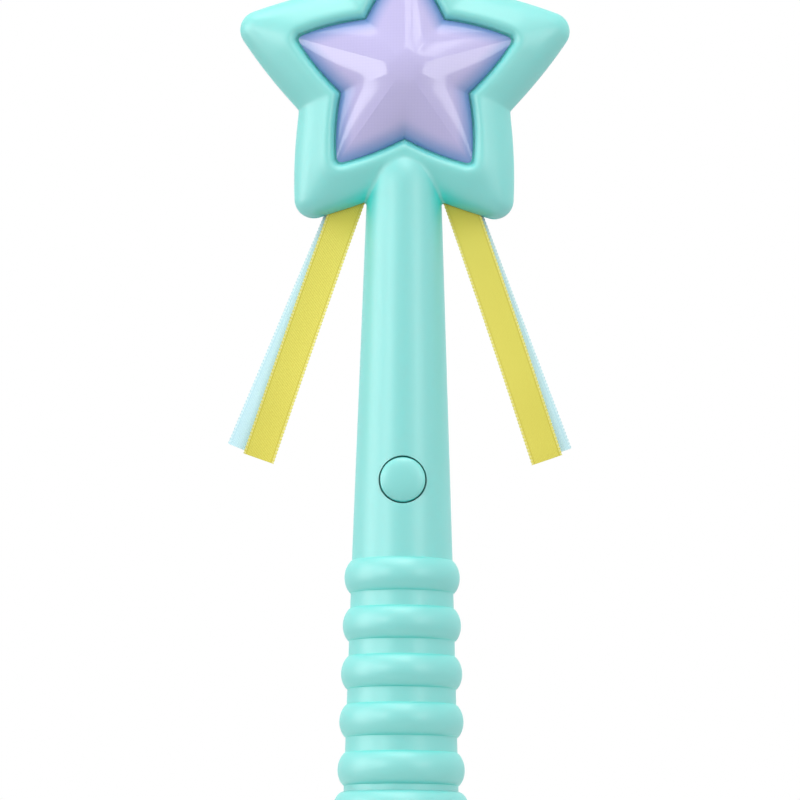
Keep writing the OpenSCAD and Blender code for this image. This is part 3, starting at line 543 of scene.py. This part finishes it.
def rear_half(case):
    post_r, ledge_out, ledge_in = 3.7, 2.5, 1.5
    obj = half_of(case, "rear_case", SEAM, HALF_FAR, hollow_inset=4.5)
    for side in (-1, 1):
        combine(obj, ribbon_slot("slot", side))
    combine(obj, box("window", -DOOR_X, DOOR_X, DOOR_INNER_Y, BOX_FAR, DOOR_LOW, DOOR_HIGH))
    for x, z, seat, end in screw_posts():
        combine(obj, rod("post", x, z, SEAM, end, post_r), "UNION")
        combine(obj, rod("hole", x, z, -1, ROD_FAR, SCREW_HOLE_R))
        combine(obj, rod("well", x, z, seat, ROD_FAR, SCREW_WELL_R))
    combine(obj, door_ledge(DOOR_LOW - ledge_out, DOOR_LOW + ledge_in), "UNION")
    combine(obj, door_ledge(DOOR_HIGH - ledge_in, DOOR_HIGH + ledge_out), "UNION")
    return smooth(obj)


def grip_door(case):
    boss_end, seat = 14.8, 12.47
    obj = copy_of(case, "grip_door")
    x, low, high = DOOR_X - DOOR_GAP, DOOR_LOW + DOOR_GAP, DOOR_HIGH - DOOR_GAP
    combine(obj, box("door_box", -x, x, DOOR_INNER_Y, BOX_FAR, low, high), "INTERSECT")
    combine(obj, bore("bore", 0))
    combine(obj, rod("door_boss", 0, DOOR_SCREW_Z, DOOR_SEAT_Y, boss_end, DOOR_POST_R), "UNION")
    combine(obj, rod("door_hole", 0, DOOR_SCREW_Z, 0, ROD_FAR, SCREW_HOLE_R))
    combine(obj, rod("door_well", 0, DOOR_SCREW_Z, seat, ROD_FAR, SCREW_WELL_R))
    return smooth(obj)


case = case_solid()
front = front_half(case)
rear = rear_half(case)
door = grip_door(case)
bpy.data.objects.remove(case)


# End cap and button
def end_cap():
    """A flared cap, hollow, with a plug on top that holds both halves of the case together."""
    wide_r, wide_z, foot_r, overlap, shoulder_power = 21.5, 8.0, 18.0, 0.24, 1.1
    plug_r, plug_top, plug_wall = 15.26, 19.0, 1.8
    roof_z, hollow_r, floor_r, floor_z = 13.8, 18.0, 15.8, 2.2
    neck_r = GRIP_LOW_R + overlap
    turns = quarter_turn(18)
    line = [(0, 0)]
    line += [(foot_r + (wide_r - foot_r) * math.sin(a), wide_z * (1 - math.cos(a))) for a in turns]
    line += [(neck_r + (wide_r - neck_r) * math.cos(a) ** shoulder_power,
              wide_z + (SHOULDER_Z - wide_z) * math.sin(a)) for a in turns[1:]]
    line += [(plug_r, SHOULDER_Z), (plug_r, plug_top)]
    line += [(plug_r - plug_wall, plug_top), (plug_r - plug_wall, roof_z)]
    line += [(hollow_r, wide_z), (floor_r, floor_z), (0, floor_z)]
    return smooth(add_mesh("cap", *lathe(line)))


def push_button():
    """A domed button with a flange that keeps it in, and a pin towards the silicone dome."""
    proud, crown, crown_power = 1.0, 1.7, 0.9
    pin_r, pin_end, flange_r, flange_in, flange_out = 1.8, 6.3, 8.1, 8.15, 9.35
    edge = float(case_r(BUTTON_Z)) + proud - crown
    line = [(0, pin_end), (pin_r, pin_end), (pin_r, flange_in), (flange_r, flange_in), (flange_r, flange_out),
            (BUTTON_R, flange_out)]
    line += [(BUTTON_R * math.cos(a) ** crown_power, edge + crown * math.sin(a) ** crown_power)
             for a in quarter_turn(24)]
    return smooth(add_mesh("button", *lathe(line, 96, "y", (0, 0, BUTTON_Z))))


cap = end_cap()
button = push_button()


# Lens: each arm is a cone from its tip with a crease along its ridge, and they run into a dome
def lens_height(x, z):
    edge_lean, even_share, cubed_share = 0.845, 0.3, 0.7
    dome_r, dome_lift, dome_blend = 8.0, 0.1, 0.25
    near = np.maximum(-distance(x, z, OPENING), 0)
    turn = np.arctan2(z, x) - math.pi / 2
    turn = np.abs((turn + math.pi / 5) % (2 * math.pi / 5) - math.pi / 5)
    r = np.hypot(x, z)
    along, side = r * np.cos(turn), r * np.sin(turn)
    share = side / np.maximum(side + near / edge_lean, 1e-6)
    ridge = LENS_RISE * np.clip(1 - along / LENS_TIP, 0, 1)
    cone = ridge * (1 - even_share * share - cubed_share * share ** 3)
    fall = LENS_RISE / LENS_TIP
    inner = LENS_RISE - fall * dome_r / 2 - fall * r ** 2 / (2 * dome_r)
    dome = np.where(r < dome_r, inner, LENS_RISE - fall * r + dome_lift * (r - dome_r))
    return smin(cone, dome, dome_blend)


def lens_mesh():
    """The lens as one shell: its top in rings from the middle out, a flange, and back in underneath."""
    per_edge, per_tip, rings, crowding = 24, 12, 56, 1.3
    wall, step_out, step_drop, flange_out, flange_thick = 1.9, 0.45, 0.4, 1.8, 1.2
    crease_from, deepest = 7.0, 30
    line = outline_points(OPENING, 0.0, per_edge, per_tip)
    step = outline_points(OPENING, step_out, per_edge, per_tip)
    flange = outline_points(OPENING, flange_out, per_edge, per_tip)
    n, faces = len(line), []
    shells = [1 - (1 - k / rings) ** crowding for k in range(1, rings + 1)]
    flat = np.concatenate([[(0.0, 0.0)]] + [line * u for u in shells])
    top = np.stack([flat[:, 0], LENS_EDGE_Y - lens_height(*flat.T), STAR_Z + flat[:, 1]], 1)
    top[-n:, 1] = LENS_EDGE_Y
    edges = ((step, LENS_EDGE_Y + step_drop), (step, LENS_SEAT_Y), (flange, LENS_SEAT_Y),
             (flange, LENS_SEAT_Y + flange_thick))
    parts = [top]
    for edge, y in edges:
        parts.append(np.stack([edge[:, 0], np.full(n, y), STAR_Z + edge[:, 1]], 1))
    inner = np.linspace(0.93, 0.1, 12)
    for u in inner:
        y = LENS_EDGE_Y + wall - lens_height(*(line * u).T)
        parts.append(np.stack([line[:, 0] * u, y, STAR_Z + line[:, 1] * u], 1))
    parts.append(np.array([(0, LENS_EDGE_Y + wall - float(lens_height(0.0, 0.0)), STAR_Z)]))
    verts = np.concatenate(parts)
    total = rings + len(edges) + len(inner)
    for k in range(n):
        faces.append((0, 1 + k, 1 + (k + 1) % n))
    for r in range(total - 1):
        a, b = 1 + r * n, 1 + (r + 1) * n
        for k in range(n):
            j = (k + 1) % n
            faces.append((a + k, b + k, b + j, a + j))
    a = 1 + (total - 1) * n
    for k in range(n):
        faces.append((a + k, len(verts) - 1, a + (k + 1) % n))
    obj = add_mesh("lens", verts, [f[::-1] for f in faces])
    rim = obj.data.attributes.new("rim", "FLOAT", "POINT")
    depth = np.clip(-distance(verts[:, 0], verts[:, 2] - STAR_Z, OPENING), 0, deepest)
    rim.data.foreach_set("value", depth.astype(np.float32))
    smooth(obj, 60)
    ridges = {t * (n // 5) + per_tip // 2 for t in range(5)}
    sharp = obj.data.attributes["sharp_edge"].data
    for e in obj.data.edges:
        a, b = sorted(e.vertices)
        if 0 < a and b <= rings * n and (a - 1) % n in ridges and (b - 1) % n == (a - 1) % n:
            if np.hypot(verts[a, 0], verts[a, 2] - STAR_Z) > crease_from:
                sharp[e.index].value = True
    return obj


lens = lens_mesh()


# Ribbons, each as (name, side, x and y where it leaves the star, length, splay in degrees,
# sideways drift, wave and curl)
RIBBONS = [
    ("yellow_left", -1, YELLOW_X, -0.55, 83.5, YELLOW_SPLAY, -0.9, 0.10, -0.5),
    ("yellow_right", 1, YELLOW_X, -0.55, 83.5, YELLOW_SPLAY, -0.9, 0.10, -0.5),
    ("blue_left", -1, 18.7, 0.55, 81.83, 22.2, 0.0, -0.10, 0.4),
    ("blue_right", 1, 18.7, 0.55, 81.83, 20.7, 0.0, -0.10, 0.4),
]


def ribbon(name, side, x0, y0, length, splay, drift, wave_y, curl):
    """A woven strip, with small loops along both edges, that leaves the star and hangs to its length."""
    thick, loop_pitch, loop_rows, loop_depth, loop_swell = 0.24, 1.15, 8, 0.14, 0.7
    cup_depth, freed_by, curl_from, edge_from = 0.35, 25.0, 0.78, 0.93
    a = math.radians(splay)
    down = np.array([side * math.sin(a), 0, -math.cos(a)])
    across = np.array([side * math.cos(a), 0, math.sin(a)])
    rows = int(round((length + RIBBON_TAIL) / loop_pitch)) * loop_rows
    s = np.linspace(-RIBBON_TAIL, length, rows + 1)
    border = np.array([4.55, 4.75, 4.9, 5.0])
    w = np.concatenate([-border[::-1], np.linspace(-4.2, 4.2, 15), border]) / (RIBBON_WIDTH / 2)
    S, W = np.meshgrid(s, w, indexing="ij")
    free = ease(S / freed_by)
    loop = 0.5 + 0.5 * np.cos(2 * math.pi * (S + RIBBON_TAIL) / loop_pitch)
    edge = ease((np.abs(W) - edge_from) / (1 - edge_from))
    half = RIBBON_WIDTH / 2 - loop_depth * edge * (1 - loop)
    t = np.clip(S / length, 0, 1)
    cup = -cup_depth * W ** 2 * free
    roll = curl * ease((t - curl_from) / (1 - curl_from)) ** 2
    out = wave_y * np.sin(2.2 * math.pi * t) * free
    base = np.array([side * x0, 0, mouth_z(x0)])
    middle = base + S[..., None] * down + (W * half + drift * t ** 2)[..., None] * across
    middle[..., 1] = y0 + cup * (1 if y0 < 0 else -1) + out + roll
    normal = np.cross(np.gradient(middle, axis=0), np.gradient(middle, axis=1))
    normal /= np.maximum(np.linalg.norm(normal, axis=2, keepdims=True), 1e-9)
    swell = normal * (thick / 2 * (1 + loop_swell * edge * loop))[..., None]
    verts = np.concatenate([(middle + swell).reshape(-1, 3), (middle - swell).reshape(-1, 3)])
    r, c = S.shape
    faces = []
    index = np.arange(r * c).reshape(r, c)
    for i in range(r - 1):
        for j in range(c - 1):
            q = (index[i, j], index[i + 1, j], index[i + 1, j + 1], index[i, j + 1])
            faces.append(q)
            faces.append(tuple(r * c + v for v in q[::-1]))
    ring = ([index[i, 0] for i in range(r)] + [index[r - 1, j] for j in range(1, c)]
            + [index[i, c - 1] for i in range(r - 2, -1, -1)] + [index[0, j] for j in range(c - 2, 0, -1)])
    for a, b in zip(ring, ring[1:] + ring[:1]):
        faces.append((b, a, r * c + a, r * c + b))
    obj = add_mesh(name, verts, faces)
    layer = obj.data.uv_layers.new(name="weave")
    uv = np.stack([W.ravel() * RIBBON_WIDTH / 2, S.ravel()], 1)
    uv = np.concatenate([uv, uv]) * 0.1  # in centimetres
    corner = np.zeros(len(obj.data.loops), np.int32)
    obj.data.loops.foreach_get("vertex_index", corner)
    layer.data.foreach_set("uv", uv[corner].astype(np.float32).ravel())
    smooth(obj, 60)
    return obj, base + np.array([0, y0, 0]), down


# Materials
def srgb(text):
    v = [int(text[i:i + 2], 16) / 255 for i in (1, 3, 5)]
    return tuple(x / 12.92 if x <= 0.04045 else ((x + 0.055) / 1.055) ** 2.4 for x in v) + (1.0,)


def material(name, colour, rough, **more):
    mat = bpy.data.materials.new(name)
    mat.use_nodes = True
    shader = mat.node_tree.nodes["Principled BSDF"]
    shader.inputs["Base Color"].default_value = srgb(colour)
    shader.inputs["Roughness"].default_value = rough
    for key, value in more.items():
        shader.inputs[key.replace("_", " ")].default_value = value
    return mat, mat.node_tree, shader


def node(tree, kind, **values):
    n = tree.nodes.new("ShaderNode" + kind)
    for key, value in values.items():
        if hasattr(n, key):
            setattr(n, key, value)
        else:
            n.inputs[key].default_value = value
    return n


def math_node(tree, operation, a, b=None):
    n = node(tree, "Math", operation=operation)
    for i, v in enumerate((a, b)):
        if v is None:
            continue
        if isinstance(v, (int, float)):
            n.inputs[i].default_value = v
        else:
            tree.links.new(v, n.inputs[i])
    return n.outputs[0]


def times(tree, a, b):
    return math_node(tree, "MULTIPLY", a, b)


def wave(tree, value, pitch):
    """A sine along a value, with one turn to each pitch."""
    return math_node(tree, "SINE", times(tree, value, 2 * math.pi / pitch))


def mix(tree, factor, a, b):
    n = node(tree, "Mix", data_type="RGBA")
    for socket, v in ((n.inputs["Factor"], factor), (n.inputs[6], a), (n.inputs[7], b)):
        if isinstance(v, (int, float, tuple)):
            socket.default_value = v
        else:
            tree.links.new(v, socket)
    return n.outputs[2]


def span(tree, value, a, b, to_a=0.0, to_b=1.0, kind="SMOOTHSTEP"):
    n = node(tree, "MapRange", interpolation_type=kind)
    tree.links.new(value, n.inputs["Value"])
    for key, v in (("From Min", a), ("From Max", b), ("To Min", to_a), ("To Max", to_b)):
        n.inputs[key].default_value = v
    return n.outputs["Result"]


def bump(tree, shader, height, strength, depth=0.0001):
    n = node(tree, "Bump", Strength=strength, Distance=depth)
    tree.links.new(height, n.inputs["Height"])
    tree.links.new(n.outputs[0], shader.inputs["Normal"])


def noise(tree, place, scale, detail):
    n = node(tree, "TexNoise", Scale=scale, Detail=detail)
    tree.links.new(place, n.inputs["Vector"])
    return n.outputs["Fac"]


def split(tree, place):
    n = node(tree, "SeparateXYZ")
    tree.links.new(place, n.inputs[0])
    return n.outputs


def object_place(tree):
    return node(tree, "TexCoord").outputs["Object"]


def teal_plastic():
    """Pastel plastic with painted shade in its corners: a more saturated teal where ambient occlusion finds
    close walls, standing in for light passed between them.
    """
    plain_teal, painted_corner_shade = "#6cd0cb", "#14e8dd"
    mat, tree, shader = material(
        "teal_plastic", plain_teal, 0.42, Subsurface_Weight=0.6, Subsurface_Radius=(0.25, 1.0, 0.95),
        Subsurface_Scale=0.0035, IOR=1.8, Specular_IOR_Level=0.9)
    # Painted shade: where close walls occlude, the base colour turns a deeper, more saturated teal.
    corner = node(tree, "AmbientOcclusion", samples=8, only_local=True, Distance=0.02)
    painted_shade_mask = span(tree, corner.outputs["AO"], 0.5, 1.0, 1.0, 0.0)
    tree.links.new(mix(tree, painted_shade_mask, srgb(plain_teal), srgb(painted_corner_shade)), shader.inputs["Base Color"])
    bump(tree, shader, noise(tree, object_place(tree), 1400.0, 2.0), 0.05)
    return mat


def lens_plastic():
    """Lavender plastic with a faint prism grid, bluer towards its edge by the depth kept in rim, partly its
    own edge tint and partly painted shade where it meets the frame, with a thin painted shade line at the
    very edge.
    """
    grid_pitch, tint_and_shade_to, painted_line_to = 0.00095, 6.2, 0.7
    mat, tree, shader = material(
        "lens_plastic", "#b7b3d8", 0.16, Subsurface_Weight=0.35, Subsurface_Radius=(0.8, 0.8, 1.0),
        Subsurface_Scale=0.002, Coat_Weight=0.5, Coat_Roughness=0.05)
    place = split(tree, object_place(tree))
    lines = math_node(tree, "ADD", wave(tree, place[0], grid_pitch), wave(tree, place[2], grid_pitch))
    grid = span(tree, lines, -2.0, 2.0, 0.0, 0.16, "LINEAR")
    rim = node(tree, "Attribute", attribute_name="rim").outputs["Fac"]
    colour = mix(tree, grid, srgb("#bdb7e0"), srgb("#9f99c7"))
    # Bluer towards the edge: partly the lens's own edge tint, partly painted shade where the frame meets it.
    colour = mix(tree, span(tree, rim, 0.0, tint_and_shade_to, 1.0, 0.0), colour, srgb("#6a8dc6"))
    # Painted shade: a thin dark line where the lens meets the frame.
    colour = mix(tree, span(tree, rim, 0.0, painted_line_to, 1.0, 0.0), colour, srgb("#3f7fa3"))
    tree.links.new(colour, shader.inputs["Base Color"])
    return mat


def satin(name, colour, dark_weave_and_shade, light):
    """Twilled satin with a groove and a dotted border along each edge, painted shadow of the star under its
    top and painted shade towards its lower end; its UV map is in centimetres.
    """
    twill_across, twill_along, dot_pitch = 9.0, 13.0, 0.115
    mat, tree, shader = material(name, colour, 0.45, Sheen_Weight=0.5, Sheen_Roughness=0.35)
    uv = node(tree, "UVMap", uv_map="weave").outputs[0]
    across, along = split(tree, uv)[:2]
    slant = math_node(tree, "ADD", times(tree, across, twill_across), times(tree, along, twill_along))
    twill = wave(tree, slant, 1.0)
    side = math_node(tree, "ABSOLUTE", across)
    groove = times(tree, span(tree, side, 0.385, 0.405), span(tree, side, 0.415, 0.435, 1.0, 0.0))
    dots = span(tree, wave(tree, along, dot_pitch), -0.6, 0.6, 0.1, 0.65)
    dotted = times(tree, span(tree, side, 0.42, 0.44), dots)
    base = srgb(colour)
    for factor, tint in (
        (span(tree, twill, -1.0, 1.0, 0.0, 0.34, "LINEAR"), dark_weave_and_shade),
        (span(tree, noise(tree, uv, 22.0, 2.0), 0.35, 0.75, 0.0, 0.25), dark_weave_and_shade),
        (times(tree, groove, 0.5), dark_weave_and_shade),
        (dotted, light),
        # Painted shadow: darker at the top, just under the star's rim.
        (span(tree, along, 0.0, 1.3, 0.5, 0.0), dark_weave_and_shade),
        # Painted shade: a little darker towards the lower end.
        (span(tree, along, 5.0, 8.3, 0.0, 0.15), dark_weave_and_shade),
    ):
        base = mix(tree, factor, base, srgb(tint))
    tree.links.new(base, shader.inputs["Base Color"])
    bump(tree, shader, twill, 0.12)
    return mat


def plain(name, colour, rough, metal=0.0):
    """One colour, with a fine grain in its gloss."""
    mat, tree, shader = material(name, colour, rough, Metallic=metal)
    grain = noise(tree, object_place(tree), 900.0, 3.0)
    tone = span(tree, grain, 0.3, 0.7, rough * 0.85, min(1.0, rough * 1.15))
    tree.links.new(tone, shader.inputs["Roughness"])
    return mat


TEAL, LENS = teal_plastic(), lens_plastic()
# Each satin's second colour tints its twill and noise, and is also its painted shade and shadow.
YELLOW = satin("yellow_satin", "#e8e062", "#b4a606", "#f0eaa4")
BLUE = satin("blue_satin", "#cceff6", "#b2dce8", "#e2f6fa")
WHITE = plain("white_plastic", "#f2f2ee", 0.5)
BOARD = plain("board", "#2f7d4a", 0.45)
LAMP = plain("lamp", "#f4f4ff", 0.15)
BLACK = plain("black_plastic", "#202022", 0.5)
SILICONE = plain("silicone", "#dcdcdc", 0.6)
JACKET = plain("cell_jacket", "#3a4f8f", 0.35)
STEEL = plain("steel", "#b9bcc0", 0.3, 1.0)
RED = plain("red_wire", "#b22222", 0.45)
DARK = plain("black_wire", "#222222", 0.45)

for names, mat in (
    (("star_reflector",), WHITE),
    (("led_board", "circuit_board"), BOARD),
    (("star_leds",), LAMP),
    (("chip", "battery_tray"), BLACK),
    (("button_dome",), SILICONE),
    (("battery_left", "battery_right"), JACKET),
    (("contact_link", "contact_positive", "contact_negative", "spring_lower", "spring_upper"), STEEL),
    (("door_screw", "case_screws", "board_screws"), STEEL),
    (("wire_battery_red", "wire_led_red"), RED),
    (("wire_battery_black", "wire_led_black"), DARK),
):
    for name in names:
        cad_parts[name].data.materials.clear()
        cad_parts[name].data.materials.append(mat)

# What stands for what, and what it moves with
for obj, body, stands_for, mat, slot in (
    (front, "wand", "front_shell", TEAL, "teal_plastic"),
    (rear, "wand", "rear_shell", TEAL, "teal_plastic"),
    (cap, "wand", "end_cap", TEAL, "teal_plastic"),
    (door, "door", "battery_door", TEAL, "teal_plastic"),
    (button, "button", "push_button", TEAL, "teal_plastic"),
    (lens, "wand", "star_lens", LENS, "lens_plastic"),
):
    obj.data.materials.clear()
    obj.data.materials.append(mat)
    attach(obj, body)
    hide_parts(stands_for)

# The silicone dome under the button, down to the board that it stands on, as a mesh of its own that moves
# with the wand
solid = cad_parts["button_dome"]
dome = copy_of(solid, "press_dome")
dome.data.transform(solid.matrix_world)
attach(dome, "wand")
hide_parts("button_dome")
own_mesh(dome)

for name, side, x0, y0, length, *shape in RIBBONS:
    strip, base, down = ribbon("satin_" + name, side, x0, y0, length, *shape)
    colour = name.split("_")[0]
    strip.data.materials.append(YELLOW if colour == "yellow" else BLUE)
    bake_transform(strip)
    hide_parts("ribbon_" + name, "ribbon_tails_" + colour)


# Floor, light and camera
def backdrop_ray(tree):
    """1 for the rays that show the white backdrop: to the camera, or by way of gloss or glass."""
    ray = node(tree, "LightPath").outputs
    shown = math_node(tree, "MAXIMUM", ray["Is Camera Ray"], ray["Is Glossy Ray"])
    return math_node(tree, "MAXIMUM", shown, ray["Is Transmission Ray"])


def mix_shader(tree, factor, a, b, output):
    """Shows shader a where the factor is 0 and b where it is 1."""
    n = node(tree, "MixShader")
    for source, socket in zip((factor, a.outputs[0], b.outputs[0]), n.inputs):
        tree.links.new(source, socket)
    tree.links.new(n.outputs[0], tree.nodes[output].inputs["Surface"])


def pale_floor():
    """A floor that takes the shadow near the wand and fades into the white of the world further out."""
    floor_z, fade_from, fade_to, pale, bounced = -0.02, 0.09, 0.19, "#f4f4f2", "#9a9a98"
    floor = add_mesh("floor", *lathe([(r, floor_z) for r in (0, 60, 120, 200)], 96))
    mat, tree, shader = material("floor", pale, 0.8)
    reach = node(tree, "VectorMath", operation="LENGTH")
    tree.links.new(object_place(tree), reach.inputs[0])
    seen = backdrop_ray(tree)
    tree.links.new(mix(tree, seen, srgb(bounced), srgb(pale)), shader.inputs["Base Color"])
    glow = node(tree, "Emission", Color=(1, 1, 1, 1))
    tree.links.new(span(tree, seen, 0.0, 1.0, 0.3, 1.0, "LINEAR"), glow.inputs["Strength"])
    mix_shader(tree, span(tree, reach.outputs["Value"], fade_from, fade_to), shader, glow, "Material Output")
    floor.data.materials.append(mat)


def studio_world():
    """White where it is seen; its soft light comes a little more from above, behind and the right."""
    world = bpy.data.worlds.new("studio")
    scene.world = world
    world.use_nodes = True
    tree = world.node_tree
    soft = tree.nodes["Background"]
    soft.inputs["Color"].default_value = (1, 1, 1, 1)
    x, y, z = split(tree, node(tree, "TexCoord").outputs["Generated"])
    around = times(tree, span(tree, y, -0.7, 0.4, 0.78, 1.06), span(tree, x, -1.0, 1.0, 0.95, 1.2, "LINEAR"))
    around = times(tree, around, span(tree, z, -0.7, 0.5, 0.5, 1.1))
    tree.links.new(around, soft.inputs["Strength"])
    white = node(tree, "Background", Color=(1, 1, 1, 1), Strength=1.0)
    mix_shader(tree, backdrop_ray(tree), soft, white, "World Output")


def softbox(name, place, aim_z, width, height, watts):
    """A rectangular lamp, in metres, aimed at a height on the wand's axis."""
    data = bpy.data.lights.new(name, "AREA")
    data.shape, data.size, data.size_y, data.energy = "RECTANGLE", width, height, watts
    obj = bpy.data.objects.new(name, data)
    scene.collection.objects.link(obj)
    obj.location = place
    obj.rotation_euler = (Vector((0, 0, aim_z)) - Vector(place)).to_track_quat("-Z", "Y").to_euler()
    obj.visible_camera = False


def photo_camera():
    """In front and a little below the wand, looking up, as in the photo."""
    distance_m, rise, roll = 1.5, math.radians(7.1), math.radians(0.30)
    target, view_width, sensor = Vector((-0.95, 0, 137.3)) * MM, 0.248, 36.0
    data = bpy.data.cameras.new("camera")
    data.sensor_width, data.lens = sensor, sensor * distance_m / view_width
    data.clip_start, data.clip_end = 0.1, 20.0
    camera = bpy.data.objects.new("camera", data)
    scene.collection.objects.link(camera)
    camera.location = target + distance_m * Vector((0, -math.cos(rise), -math.sin(rise)))
    look = (target - camera.location).to_track_quat("-Z", "Y")
    camera.rotation_euler = (look.to_matrix() @ Matrix.Rotation(roll, 3, "Z")).to_euler()
    scene.camera = camera


pale_floor()
studio_world()
for lamp in (
    ("key_left", (-0.747, -0.939, 0.392), 0.239, 0.36, 0.46, 1.9),
    ("fill_right", (0.747, -0.939, 0.392), 0.239, 0.36, 0.46, 1.4),
    ("high_front", (0.055, -0.785, 1.145), 0.239, 0.43, 0.38, 1.3),
    ("high_right", (0.441, -0.968, 1.07), 0.239, 0.165, 0.236, 0.42),
    ("wall_left", (-1.4, -0.3, 0.4), 0.17, 0.9, 1.3, 6.3),
    ("above", (-0.2, -0.35, 1.55), 0.15, 1.4, 1.0, 6.0),
):
    softbox(*lamp)
photo_camera()
scene.view_settings.view_transform = "Standard"
scene.view_settings.look = "None"
